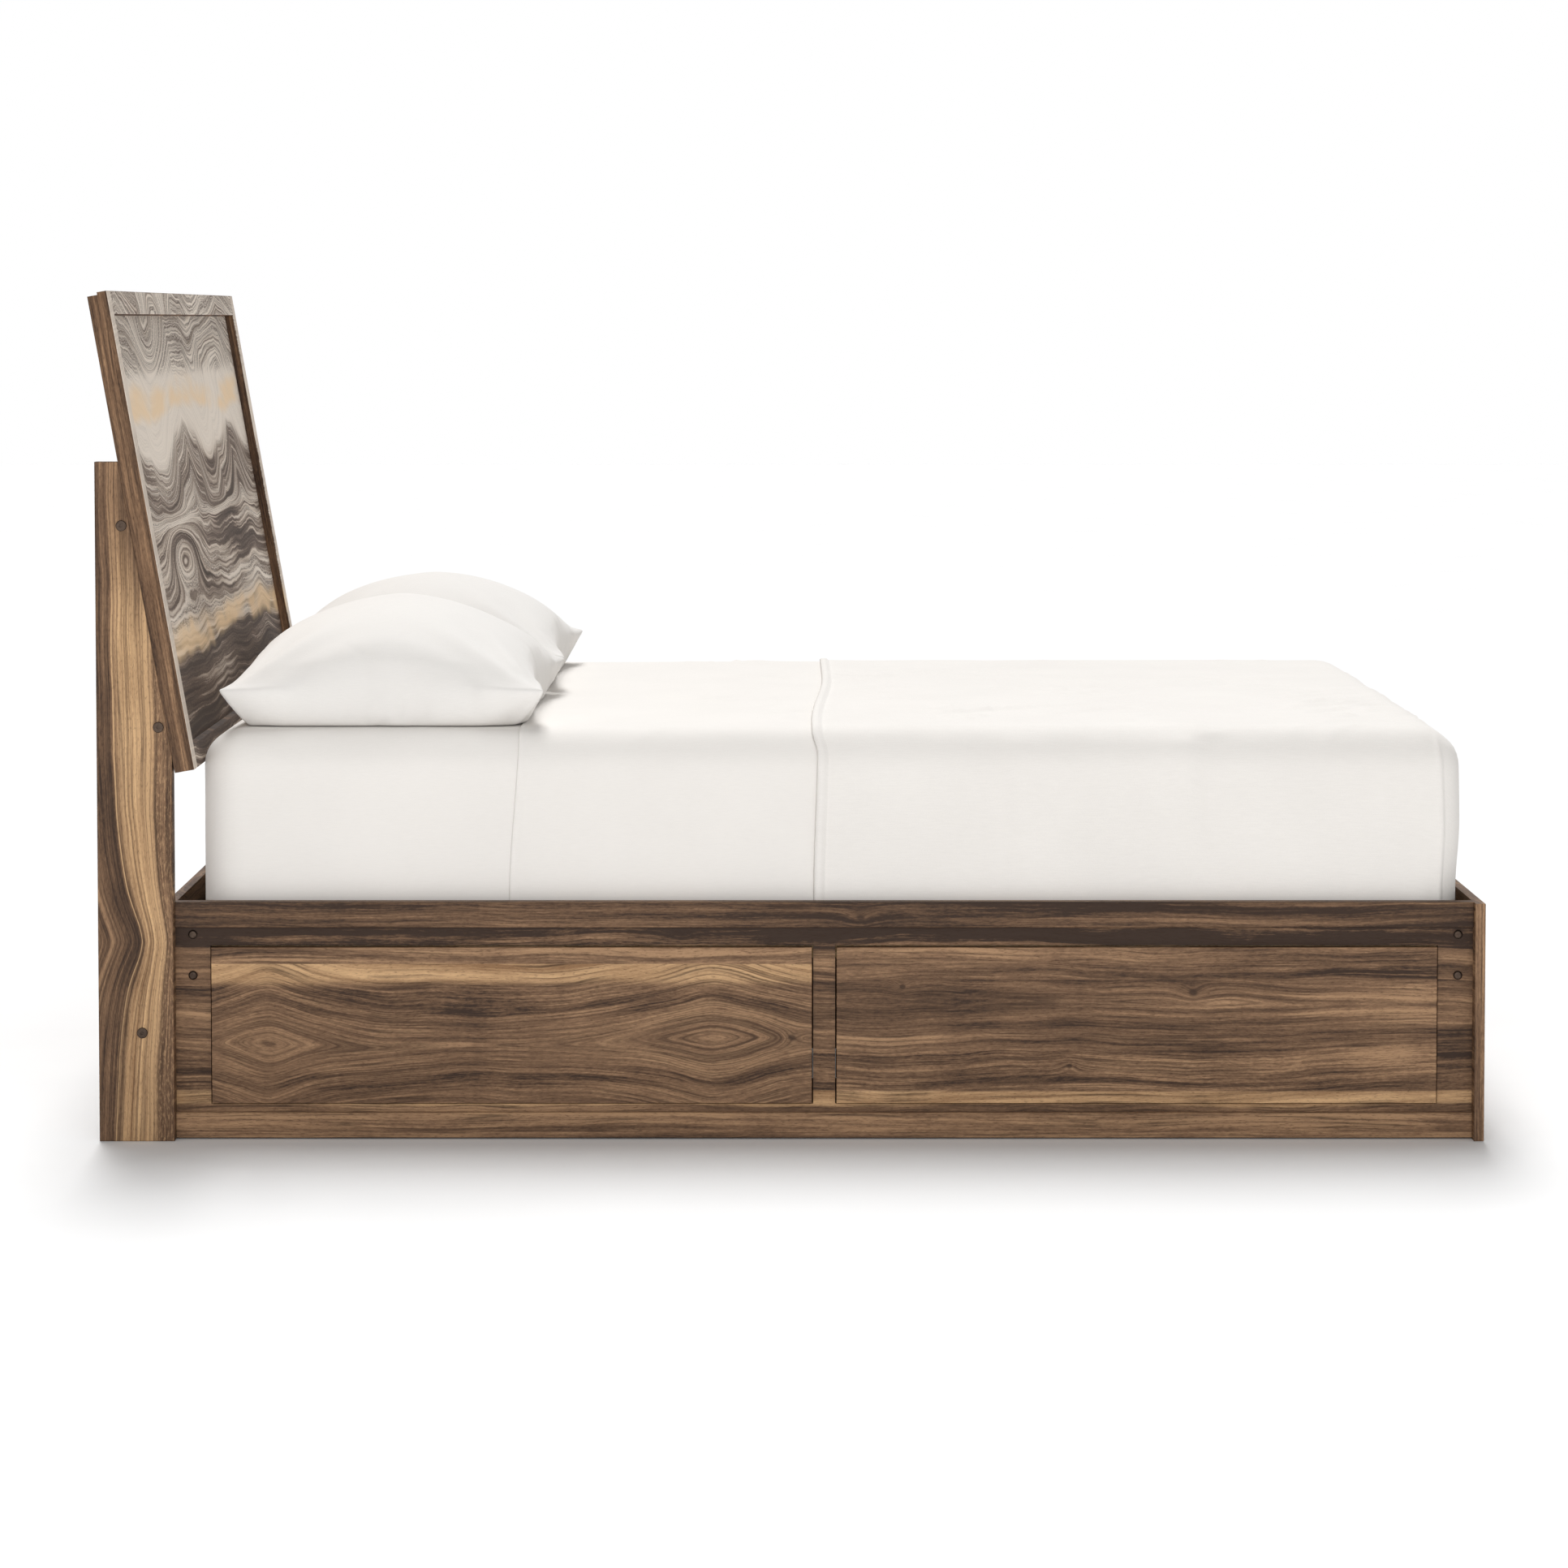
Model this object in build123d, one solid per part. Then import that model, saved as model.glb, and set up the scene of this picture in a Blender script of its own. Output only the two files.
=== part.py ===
"""Full-size platform bed: leaning panel headboard, four side drawers, slatted deck and bedding.

Millimetres, +Z up.  The floor is z 0, X runs across the bed and +Y points to the head end.  The
origin is on the floor under the centre of the whole bed.  "Left" is the -X side, as seen from the
foot end.  Places along the bed are stations, counted from the back edge of the legs to the foot.
"""
import os
from math import cos, radians, sin

from build123d import *

os.makedirs("parts", exist_ok=True)

# ---- Driving dimensions ---------------------------------------------------------------------
BOARD = 15.0                # thickness of every base board
EASE = 0.8                  # small chamfer on the edges that show

MATTRESS_WIDTH = 1368.0
MATTRESS_LENGTH = 1886.0
MATTRESS_HEIGHT = 297.0
MATTRESS_CORNER = 60.0      # upright corner radius
MATTRESS_TOP_EDGE = 55.0
MATTRESS_BOTTOM_EDGE = 30.0
SIDE_ROOM = 10.0            # between the mattress and a side panel
FOOT_ROOM = 20.5            # between the mattress and the footboard
HEAD_ROOM = 2.5             # between the mattress and the headboard's lowest front corner

LAYER_AIR = 0.3             # clearance between one layer of bedding and the next
SHEET_THICKNESS = 1.2
COVERLET_THICKNESS = 2.4
TOP_SHEET_STATION = 626.0   # where the top sheet is folded back to
COVERLET_STATION = 1075.0   # where the coverlet is folded back to
TUCK_HEIGHT = 34.0          # lowest edge of the bedding above the deck

PILLOW_WIDTH = 640.0        # across the bed
PILLOW_DEPTH = 496.0        # along the bed
PILLOW_HEIGHT = 182.0
PILLOW_SEAM = 58.0          # height of the edge seam above the sheet
PILLOW_FLAT = 40.0          # how far the flat underside stays inside the edge
PILLOW_GAP = 10.0           # between the two pillows
PILLOW_STATION = 415.5      # middle of a pillow

LEG_DEPTH = 112.0
LEG_THICKNESS = 25.0
LEG_HEIGHT = 1016.0
LEG_BEND = 578.0            # height where the front edge starts to lean back

LEAN = radians(10.0)
HEADBOARD_LENGTH = 723.0    # along the slope
HEADBOARD_DROP = 25.7       # how far it hangs below the bend of the legs
HEADBOARD_STEP = 4.0        # the back panel ends this far below the top rail
HEADBOARD_LAYER = 15.0      # thickness of the back panel, and of the frame on it
FRAME_WIDTH = 35.0          # face width of the headboard's stiles and rails
CLEAT_THICKNESS = 24.0
CLEAT_WIDTH = 60.0
CLEAT_START = 12.0          # along the slope from the bend
CLEAT_LENGTH = 400.0
LEG_BOLT_FIRST = 45.8       # along the slope from the bend
LEG_BOLT_PITCH = 304.8

HEAD_RAIL_STATION = 57.5    # back face of the rail between the legs
HEAD_RAIL_BOTTOM = 8.0
HEAD_RAIL_DROP = 39.0       # its top edge below the top of the base

BASE_HEIGHT = 357.0
PANEL_LIFT = 2.0            # side panels, spine and partitions stand this far off the floor
STRIP_HEIGHT = 38.0
STRIP_PROUD = 8.0
DECK_RECESS = 45.0          # top of the slats below the top of the base

END_MARGIN = 54.25          # from a leg, or from the footboard, to the nearest drawer front
DIVIDER = 37.0              # between the two drawer fronts of one side
FINGER_CHANNEL = 30.0       # open band between the drawer fronts and the top strip
UNDER_BAND = 14.0           # the same between the bottom strip and the fronts
FRONT_GAP = 2.0             # round a front in its opening
FRONT_THICKNESS = 15.0
GROOVE_LENGTH = 160.0       # finger groove in the top edge of a front
GROOVE_WIDTH = 6.0
GROOVE_DEPTH = 8.0
GROOVE_LIP = 3.0

BOX_WALL = 12.0             # drawer box sides and ends
BOX_DEPTH = 540.0
BOX_LIFT = 18.0             # box bottom edge above the bottom edge of the front
BOX_DROP = 47.0             # box top edge below the top edge of the front
BOX_FLOOR = 6.0
BOX_FLOOR_LIFT = 12.0       # floor panel above the bottom edge of the box
GROOVE_BITE = 6.0           # how far the floor panel sits in the box walls
FLOOR_PLAY = 0.2

SLIDE_SPACE = 13.0          # from a partition to the drawer box
SLIDE_LENGTH = 500.0
SLIDE_HEIGHT = 45.0
SLIDE_SHEET = 1.2           # steel thickness
SLIDE_LIFT = 38.0           # middle of the slides above the bottom edge of the box
SLIDE_BALLS = 3.3           # running space between one member and the next
SLIDE_SETBACK = 4.0         # front ends of the slides behind the side panel's inner face
MIDDLE_SHORTER = 5.0        # each end of the middle member inside the ends of the others
FIXED_LIP = 0.72            # shares of the slide space that the members' lips reach to
MIDDLE_LIP = 0.85
INNER_LIP = 0.42

SLAT_COUNT = 13
SLAT_WIDTH = 70.0
SLAT_THICKNESS = 15.0
SLAT_PLAY = 4.0             # from a slat's end to the side panel
LEDGER_THICKNESS = 20.0
LEDGER_HEIGHT = 27.0

BRACKET_SHEET = 2.5
BRACKET_HEIGHT = 90.0
BRACKET_ARM = 60.0          # arm on the cross board
BRACKET_RISE = 3.0          # bracket top above the bottom edge of the top strip
BRACKET_PLAY = 1.0          # from a bracket's side arm to the partition
SCREW_SHARE = 0.6           # how far along the cross arm its screws sit
BOLT_PITCH = 61.5
BOLT_DROP = 11.5            # upper rail bolt below the top strip
HEAD_BOLT_SPACE = 11.25     # from the head partition to the rail bolts
FOOT_BOLT_SPACE = 14.75     # from the foot partition to the rail bolts
RAIL_BOLT_RADIUS = 3.0
RAIL_BOLT_HEAD = 6.75
RAIL_BOLT_DOME = 4.0
DOME_ROUNDING = 0.8         # share of the dome's height that is rounded
NUT_RADIUS = 5.0
NUT_HEIGHT = 5.0
LEG_BOLT_RADIUS = 3.5
LEG_BOLT_HEAD = 8.0
LEG_BOLT_CAP = 2.6
LEG_BOLT_ROUNDING = 1.2
LEG_BOLT_LENGTH = 62.0
SOCKET_ACROSS = 5.0
SOCKET_DEPTH = 2.0
BARREL_RADIUS = 5.0
BARREL_LENGTH = 12.0
BARREL_REACH = 35.0         # from the leg's inner face to the barrel nut
HOLE_PLAY = 0.3             # round every shank and barrel
HOLE_EXTRA = 1.0            # a leg bolt's hole beyond its tip
SCREW_EXTRA = 0.5           # a wood screw's hole beyond its tip
SCREW_RADIUS = 2.0
SCREW_HEAD = 4.0
SCREW_CAP = 2.0
SCREW_LENGTH = 13.0
SLAT_SCREW_LENGTH = 30.0
GLIDE_RADIUS = 12.0

# ---- Derived planes and stations -------------------------------------------------------------
PANEL_IN = MATTRESS_WIDTH / 2 + SIDE_ROOM
PANEL_OUT = PANEL_IN + BOARD
STRIP_OUT = PANEL_OUT + STRIP_PROUD
BED_SIDE = PANEL_OUT + LEG_THICKNESS

BASE_START = HEAD_RAIL_STATION + BOARD
MATTRESS_START = (LEG_DEPTH + HEADBOARD_DROP * sin(LEAN) + 2 * HEADBOARD_LAYER * cos(LEAN)
                  + HEAD_ROOM)
MATTRESS_END = MATTRESS_START + MATTRESS_LENGTH
BASE_END = MATTRESS_END + FOOT_ROOM
BED_END = BASE_END + BOARD

SLOPE_BOTTOM = -HEADBOARD_DROP
SLOPE_TOP = SLOPE_BOTTOM + HEADBOARD_LENGTH
BED_START = LEG_DEPTH - (SLOPE_TOP - HEADBOARD_STEP) * sin(LEAN)
MIDDLE = (BED_START + BED_END) / 2

DECK = BASE_HEIGHT - DECK_RECESS
SLAT_BOTTOM = DECK - SLAT_THICKNESS
LEDGER_BOTTOM = SLAT_BOTTOM - LEDGER_HEIGHT
TOP_STRIP_BOTTOM = BASE_HEIGHT - STRIP_HEIGHT
BOTTOM_STRIP_TOP = PANEL_LIFT + STRIP_HEIGHT
HEAD_RAIL_TOP = BASE_HEIGHT - HEAD_RAIL_DROP

FRONT_BOTTOM = BOTTOM_STRIP_TOP + UNDER_BAND
FRONT_TOP = TOP_STRIP_BOTTOM - FINGER_CHANNEL
FRONT_IN = STRIP_OUT - FRONT_THICKNESS
FRONT_LENGTH = (BASE_END - LEG_DEPTH - 2 * END_MARGIN - DIVIDER) / 2
FRONT_STATIONS = {
    "head": LEG_DEPTH + END_MARGIN,
    "foot": BASE_END - END_MARGIN - FRONT_LENGTH,
}
HEAD_PARTITION = FRONT_STATIONS["head"] - FRONT_GAP - BOARD
FOOT_PARTITION = FRONT_STATIONS["foot"] + FRONT_LENGTH + FRONT_GAP
MID_PARTITION = FRONT_STATIONS["head"] + FRONT_LENGTH + FRONT_GAP
MID_BOARD = DIVIDER / 2 - FRONT_GAP

BOX_BOTTOM = FRONT_BOTTOM + BOX_LIFT
BOX_TOP = FRONT_TOP - BOX_DROP
BOX_BACK = FRONT_IN - BOX_DEPTH
FLOOR_BOTTOM = BOX_BOTTOM + BOX_FLOOR_LIFT
SLIDE_MIDDLE = BOX_BOTTOM + SLIDE_LIFT
SLIDE_FRONT = PANEL_IN - SLIDE_SETBACK
SLIDE_BACK = SLIDE_FRONT - SLIDE_LENGTH

HEAD_BOLTS = HEAD_PARTITION - HEAD_BOLT_SPACE
FOOT_BOLTS = FOOT_PARTITION + BOARD + FOOT_BOLT_SPACE
BOLT_HEIGHTS = (TOP_STRIP_BOTTOM - BOLT_DROP, TOP_STRIP_BOTTOM - BOLT_DROP - BOLT_PITCH)
BRACKET_TOP = TOP_STRIP_BOTTOM + BRACKET_RISE
BRACKET_BOTTOM = BRACKET_TOP - BRACKET_HEIGHT
LEG_BOLT_SLOPES = (LEG_BOLT_FIRST, LEG_BOLT_FIRST + LEG_BOLT_PITCH)
HEAD_RAIL_MIDDLE = (HEAD_RAIL_BOTTOM + HEAD_RAIL_TOP) / 2


# ---- Helpers ---------------------------------------------------------------------------------
def y_at(station):
    """Y of a station along the bed."""
    return MIDDLE - station


LEAN_PLANE = Plane(
    origin=(0, y_at(LEG_DEPTH), LEG_BEND),
    x_dir=(1, 0, 0),
    z_dir=(0, -cos(LEAN), sin(LEAN)),
)


def board(x0, x1, s0, s1, z0, z1):
    """A board between two X values, two stations and two heights."""
    middle = Pos((x0 + x1) / 2, y_at((s0 + s1) / 2), (z0 + z1) / 2)
    return middle * Box(x1 - x0, s1 - s0, z1 - z0)


def leaning_board(x0, x1, t0, t1, n0, n1):
    """A board on the headboard's slope: t runs up the slope, n out of its back face."""
    middle = Pos((x0 + x1) / 2, (t0 + t1) / 2, (n0 + n1) / 2)
    return LEAN_PLANE * middle * Box(x1 - x0, t1 - t0, n1 - n0)


def rod_x(radius, x0, x1, station, z):
    """A round bar along X."""
    return Pos((x0 + x1) / 2, y_at(station), z) * Rot(0, 90, 0) * Cylinder(radius, x1 - x0)


def rod_y(radius, s0, s1, x, z):
    """A round bar along the bed."""
    return Pos(x, y_at((s0 + s1) / 2), z) * Rot(90, 0, 0) * Cylinder(radius, s1 - s0)


def rod_z(radius, z0, z1, x, station):
    """An upright round bar."""
    return Pos(x, y_at(station), (z0 + z1) / 2) * Cylinder(radius, z1 - z0)


def cut(shape, tools):
    """The shape with every tool taken out of it."""
    for tool in tools:
        shape = shape - tool
    return shape


def eased(shape, axis):
    """The shape with a small chamfer round the face that lies furthest along the axis."""
    face = shape.faces().sort_by(axis)[-1]
    return chamfer(face.edges(), EASE)


def other_side(shapes):
    """The same pieces on the left side."""
    return [mirror(shape, about=Plane.YZ) for shape in shapes]


def save(node, *shapes):
    """Write one node: a single solid, or a group of separate solids."""
    solids = [solid for shape in shapes for solid in shape.solids()]
    export_step(solids[0] if len(solids) == 1 else Compound(solids), f"parts/{node}.step")


def save_pair(node, *shapes):
    """Write a right-hand piece and its left-hand mirror image."""
    save(f"{node}_right", *shapes)
    save(f"{node}_left", *other_side(shapes))


def save_both(node, *shapes):
    """Write the pieces of both sides as one group."""
    save(node, *shapes, *other_side(shapes))


# ---- Legs and headboard ------------------------------------------------------------------------
def leg_holes():
    """Clearance holes for the three bolts of the right leg."""
    radius = LEG_BOLT_RADIUS + HOLE_PLAY
    low = rod_x(radius, PANEL_OUT, BED_SIDE, HEAD_RAIL_STATION + BOARD / 2, HEAD_RAIL_MIDDLE)
    high = [leaning_rod(radius, PANEL_OUT, BED_SIDE, slope) for slope in LEG_BOLT_SLOPES]
    return [low, *high]


def leaning_rod(radius, x0, x1, slope):
    """A round bar along X in the middle of a headboard cleat."""
    middle = Pos((x0 + x1) / 2, slope, -CLEAT_THICKNESS / 2)
    return LEAN_PLANE * middle * Rot(0, 90, 0) * Cylinder(radius, x1 - x0)


def leg():
    """Right leg: an upright plank whose front edge leans back with the headboard."""
    top_front = LEG_DEPTH - (LEG_HEIGHT - LEG_BEND) * sin(LEAN) / cos(LEAN)
    outline = [(0, 0), (LEG_DEPTH, 0), (LEG_DEPTH, LEG_BEND), (top_front, LEG_HEIGHT), (0, LEG_HEIGHT)]
    points = [(PANEL_OUT, y_at(station), z) for station, z in outline]
    plank = extrude(make_face(Polyline(*points, close=True)), amount=LEG_THICKNESS, dir=(1, 0, 0))
    return cut(eased(plank, Axis.X), leg_holes())


def headboard():
    """Back panel, with a frame of two stiles and two rails on its front."""
    inner = BED_SIDE - FRAME_WIDTH
    front = 2 * HEADBOARD_LAYER
    panel_top = SLOPE_TOP - HEADBOARD_STEP
    panel = leaning_board(-BED_SIDE, BED_SIDE, SLOPE_BOTTOM, panel_top, 0, HEADBOARD_LAYER)
    save("headboard_back_panel", panel)
    facing = Axis((0, 0, 0), (0, -cos(LEAN), sin(LEAN)))
    stile = leaning_board(inner, BED_SIDE, SLOPE_BOTTOM, SLOPE_TOP, HEADBOARD_LAYER, front)
    save_pair("headboard_stile", eased(stile, facing))
    rails = {"bottom": SLOPE_BOTTOM, "top": SLOPE_TOP - FRAME_WIDTH}
    for place, start in rails.items():
        rail = leaning_board(-inner, inner, start, start + FRAME_WIDTH, HEADBOARD_LAYER, front)
        save(f"headboard_{place}_rail", eased(rail, facing))


def headboard_cleat():
    """Block behind the headboard that takes the two upper bolts of the right leg."""
    block = leaning_board(PANEL_OUT - CLEAT_WIDTH, PANEL_OUT, CLEAT_START, CLEAT_START + CLEAT_LENGTH,
                          -CLEAT_THICKNESS, 0)
    shank_end = BED_SIDE - LEG_BOLT_LENGTH - HOLE_EXTRA
    cuts = []
    for slope in LEG_BOLT_SLOPES:
        cuts.append(leaning_rod(LEG_BOLT_RADIUS + HOLE_PLAY, shank_end, PANEL_OUT, slope))
        cuts.append(cleat_barrel(slope, BARREL_RADIUS + HOLE_PLAY, CLEAT_THICKNESS))
    return cut(block, cuts)


def cleat_barrel(slope, radius, length):
    """A cylinder across a cleat, where its barrel nut sits."""
    place = Pos(PANEL_OUT - BARREL_REACH, slope, -CLEAT_THICKNESS / 2)
    return LEAN_PLANE * place * Cylinder(radius, length)


def rail_barrel(radius, length):
    """A cylinder along the bed through the head rail, where its barrel nut sits."""
    middle = HEAD_RAIL_STATION + BOARD / 2
    start, end = middle - length / 2, middle + length / 2
    return rod_y(radius, start, end, PANEL_OUT - BARREL_REACH, HEAD_RAIL_MIDDLE)


def head_rail():
    """Cross rail between the legs; the side panels butt against its front."""
    middle = HEAD_RAIL_STATION + BOARD / 2
    rail = board(-PANEL_OUT, PANEL_OUT, HEAD_RAIL_STATION, BASE_START, HEAD_RAIL_BOTTOM, HEAD_RAIL_TOP)
    shank_end = BED_SIDE - LEG_BOLT_LENGTH - HOLE_EXTRA
    right = [
        rod_x(LEG_BOLT_RADIUS + HOLE_PLAY, shank_end, PANEL_OUT, middle, HEAD_RAIL_MIDDLE),
        rail_barrel(BARREL_RADIUS + HOLE_PLAY, BOARD),
        *screw_holes("head"),
    ]
    return cut(rail, right + other_side(right))


def leg_bolt(place):
    """Flat-headed bolt with a hex socket, in its own frame: head outwards along +Z at z 0."""
    head = Pos(0, 0, LEG_BOLT_CAP / 2) * Cylinder(LEG_BOLT_HEAD, LEG_BOLT_CAP)
    head = fillet(head.edges().group_by(Axis.Z)[-1], LEG_BOLT_ROUNDING)
    socket = extrude(RegularPolygon(SOCKET_ACROSS / 2, 6, major_radius=False), SOCKET_DEPTH)
    shank = Pos(0, 0, -LEG_BOLT_LENGTH / 2) * Cylinder(LEG_BOLT_RADIUS, LEG_BOLT_LENGTH)
    return place * (head + shank - Pos(0, 0, LEG_BOLT_CAP - SOCKET_DEPTH) * socket)


def leg_bolts():
    """The three bolts of the right leg."""
    outwards = Rot(0, 90, 0)
    low = Pos(BED_SIDE, y_at(HEAD_RAIL_STATION + BOARD / 2), HEAD_RAIL_MIDDLE) * outwards
    depth = -CLEAT_THICKNESS / 2
    high = [LEAN_PLANE * Pos(BED_SIDE, slope, depth) * outwards for slope in LEG_BOLT_SLOPES]
    return [leg_bolt(place) for place in (low, *high)]


def barrel_nuts():
    """Cross-drilled barrels that the right leg's bolts screw into."""
    blanks = [rail_barrel(BARREL_RADIUS, BARREL_LENGTH)]
    blanks += [cleat_barrel(slope, BARREL_RADIUS, BARREL_LENGTH) for slope in LEG_BOLT_SLOPES]
    radius = LEG_BOLT_RADIUS + HOLE_PLAY
    inner = PANEL_OUT - CLEAT_WIDTH
    drills = [rod_x(radius, inner, PANEL_OUT, HEAD_RAIL_STATION + BOARD / 2, HEAD_RAIL_MIDDLE)]
    drills += [leaning_rod(radius, inner, PANEL_OUT, slope) for slope in LEG_BOLT_SLOPES]
    return [blank - drill for blank, drill in zip(blanks, drills)]


# ---- Base: panels, strips, footboard and brackets ----------------------------------------------
def side_panel():
    """Right side panel: one board with two drawer openings."""
    panel = board(PANEL_IN, PANEL_OUT, BASE_START, BASE_END, PANEL_LIFT, BASE_HEIGHT)
    openings = [
        board(PANEL_IN, PANEL_OUT, start - FRONT_GAP, start + FRONT_LENGTH + FRONT_GAP,
              FRONT_BOTTOM - FRONT_GAP, FRONT_TOP + FRONT_GAP)
        for start in FRONT_STATIONS.values()
    ]
    return cut(panel, openings + rail_bolt_rods(RAIL_BOLT_RADIUS + HOLE_PLAY, PANEL_IN, PANEL_OUT))


def strip(bottom):
    """A raised strip along the outside of the right panel."""
    return eased(board(PANEL_OUT, STRIP_OUT, LEG_DEPTH, BASE_END, bottom, bottom + STRIP_HEIGHT), Axis.X)


def footboard():
    """End board, as wide as the bed."""
    plain = board(-BED_SIDE, BED_SIDE, BASE_END, BED_END, 0, BASE_HEIGHT)
    right = screw_holes("foot")
    return cut(eased(plain, -Axis.Y), right + other_side(right))


def rail_bolt_rods(radius, x0, x1):
    """The four rail bolt axes of the right side as round bars."""
    stations = (HEAD_BOLTS, FOOT_BOLTS)
    return [rod_x(radius, x0, x1, station, z) for station in stations for z in BOLT_HEIGHTS]


def rail_bolts():
    """Domed bolts that hold the right panel to its corner brackets."""
    tip = PANEL_IN - BRACKET_SHEET - NUT_HEIGHT
    heads = rail_bolt_rods(RAIL_BOLT_HEAD, PANEL_OUT, PANEL_OUT + RAIL_BOLT_DOME)
    shanks = rail_bolt_rods(RAIL_BOLT_RADIUS, tip, PANEL_OUT)
    domes = [fillet(head.edges().group_by(Axis.X)[-1], RAIL_BOLT_DOME * DOME_ROUNDING) for head in heads]
    return [dome + shank for dome, shank in zip(domes, shanks)]


def rail_nuts():
    """Hexagon nuts on the inner ends of the rail bolts."""
    face = PANEL_IN - BRACKET_SHEET
    nuts = []
    for station in (HEAD_BOLTS, FOOT_BOLTS):
        for z in BOLT_HEIGHTS:
            place = Pos(face - NUT_HEIGHT, y_at(station), z) * Rot(0, 90, 0)
            hexagon = extrude(RegularPolygon(NUT_RADIUS, 6, major_radius=False), NUT_HEIGHT)
            nuts.append(place * (hexagon - Cylinder(RAIL_BOLT_RADIUS + HOLE_PLAY, 3 * NUT_HEIGHT)))
    return nuts


def bracket(end):
    """Steel angle in a corner of the base: one arm on the side panel, one on the cross board."""
    inner = PANEL_IN - BRACKET_SHEET
    if end == "head":
        side_arm = (BASE_START, HEAD_PARTITION - BRACKET_PLAY)
        cross_arm = (BASE_START, BASE_START + BRACKET_SHEET)
    else:
        side_arm = (FOOT_PARTITION + BOARD + BRACKET_PLAY, BASE_END)
        cross_arm = (BASE_END - BRACKET_SHEET, BASE_END)
    arm = board(inner, PANEL_IN, *side_arm, BRACKET_BOTTOM, BRACKET_TOP)
    flange = board(PANEL_IN - BRACKET_ARM, inner, *cross_arm, BRACKET_BOTTOM, BRACKET_TOP)
    holes = rail_bolt_rods(RAIL_BOLT_RADIUS + HOLE_PLAY, inner, PANEL_IN) + screw_holes(end)
    return cut(arm + flange, holes)


def screw_places():
    """X and height of the two wood screws of a right-hand bracket."""
    x = PANEL_IN - BRACKET_ARM * SCREW_SHARE
    inset = BRACKET_HEIGHT / 4
    return [(x, BRACKET_BOTTOM + inset), (x, BRACKET_TOP - inset)]


def screw_span(end, start, length):
    """Stations between which a bracket screw's piece lies, counted from the cross board's face."""
    if end == "head":
        return BASE_START - start - length, BASE_START - start
    return BASE_END + start, BASE_END + start + length


def screw_holes(end):
    """Holes through a bracket and into the cross board."""
    span = screw_span(end, -BRACKET_SHEET, SCREW_LENGTH + SCREW_EXTRA)
    return [rod_y(SCREW_RADIUS + HOLE_PLAY, *span, x, z) for x, z in screw_places()]


def bracket_screws(end):
    """Wood screws that hold a right-hand bracket to the cross board."""
    screws = []
    for x, z in screw_places():
        cap = rod_y(SCREW_HEAD, *screw_span(end, -BRACKET_SHEET - SCREW_CAP, SCREW_CAP), x, z)
        shank = rod_y(SCREW_RADIUS, *screw_span(end, -BRACKET_SHEET, SCREW_LENGTH), x, z)
        screws.append(cap + shank)
    return screws


# ---- Base: spine, partitions, ledgers and slats -------------------------------------------------
def partitions():
    """Upright boards of the right side, which carry the slides and the ledger."""
    spans = [
        (HEAD_PARTITION, HEAD_PARTITION + BOARD),
        (MID_PARTITION, MID_PARTITION + MID_BOARD),
        (MID_PARTITION + MID_BOARD, MID_PARTITION + 2 * MID_BOARD),
        (FOOT_PARTITION, FOOT_PARTITION + BOARD),
    ]
    return [board(BOARD / 2, PANEL_IN, *span, PANEL_LIFT, LEDGER_BOTTOM) for span in spans]


def slat_stations():
    """Head-side edge of each slat, evenly spread over the length of the ledgers."""
    room = FOOT_PARTITION + BOARD - HEAD_PARTITION - SLAT_COUNT * SLAT_WIDTH
    gap = room / (SLAT_COUNT + 1)
    return [HEAD_PARTITION + gap + index * (SLAT_WIDTH + gap) for index in range(SLAT_COUNT)]


def slat_screw(station, x):
    """Countersunk screw through a slat's end into the ledger."""
    cap = rod_z(SCREW_HEAD, DECK - SCREW_CAP, DECK, x, station)
    return cap + rod_z(SCREW_RADIUS, DECK - SLAT_SCREW_LENGTH, DECK - SCREW_CAP, x, station)


def slat_screw_hole(station, x):
    """The hole that a slat screw sits in."""
    cap = rod_z(SCREW_HEAD + HOLE_PLAY, DECK - SCREW_CAP, DECK, x, station)
    return cap + rod_z(SCREW_RADIUS + HOLE_PLAY, DECK - SLAT_SCREW_LENGTH - 1, DECK, x, station)


def slats():
    """Cross slats, each screwed to both ledgers and resting on the spine."""
    reach = PANEL_IN - SLAT_PLAY
    screw_x = PANEL_IN - LEDGER_THICKNESS / 2
    planks = []
    for start in slat_stations():
        plank = board(-reach, reach, start, start + SLAT_WIDTH, SLAT_BOTTOM, DECK)
        middle = start + SLAT_WIDTH / 2
        planks.append(cut(plank, [slat_screw_hole(middle, x) for x in (-screw_x, screw_x)]))
    return planks


def ledger():
    """Bearer along the inside of the right panel, on top of the partitions."""
    inner = PANEL_IN - LEDGER_THICKNESS
    rail = board(inner, PANEL_IN, HEAD_PARTITION, FOOT_PARTITION + BOARD, LEDGER_BOTTOM, SLAT_BOTTOM)
    middle = PANEL_IN - LEDGER_THICKNESS / 2
    return cut(rail, [slat_screw_hole(start + SLAT_WIDTH / 2, middle) for start in slat_stations()])


def glides():
    """Felt pads under the spine and under the partitions of the right side."""
    stations = [
        HEAD_PARTITION + BOARD / 2,
        MID_PARTITION + MID_BOARD,
        FOOT_PARTITION + BOARD / 2,
    ]
    right = [rod_z(GLIDE_RADIUS, 0, PANEL_LIFT, PANEL_IN - 60, station) for station in stations]
    centre = [rod_z(GLIDE_RADIUS, 0, PANEL_LIFT, 0, station) for station in stations]
    return right, centre


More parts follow.
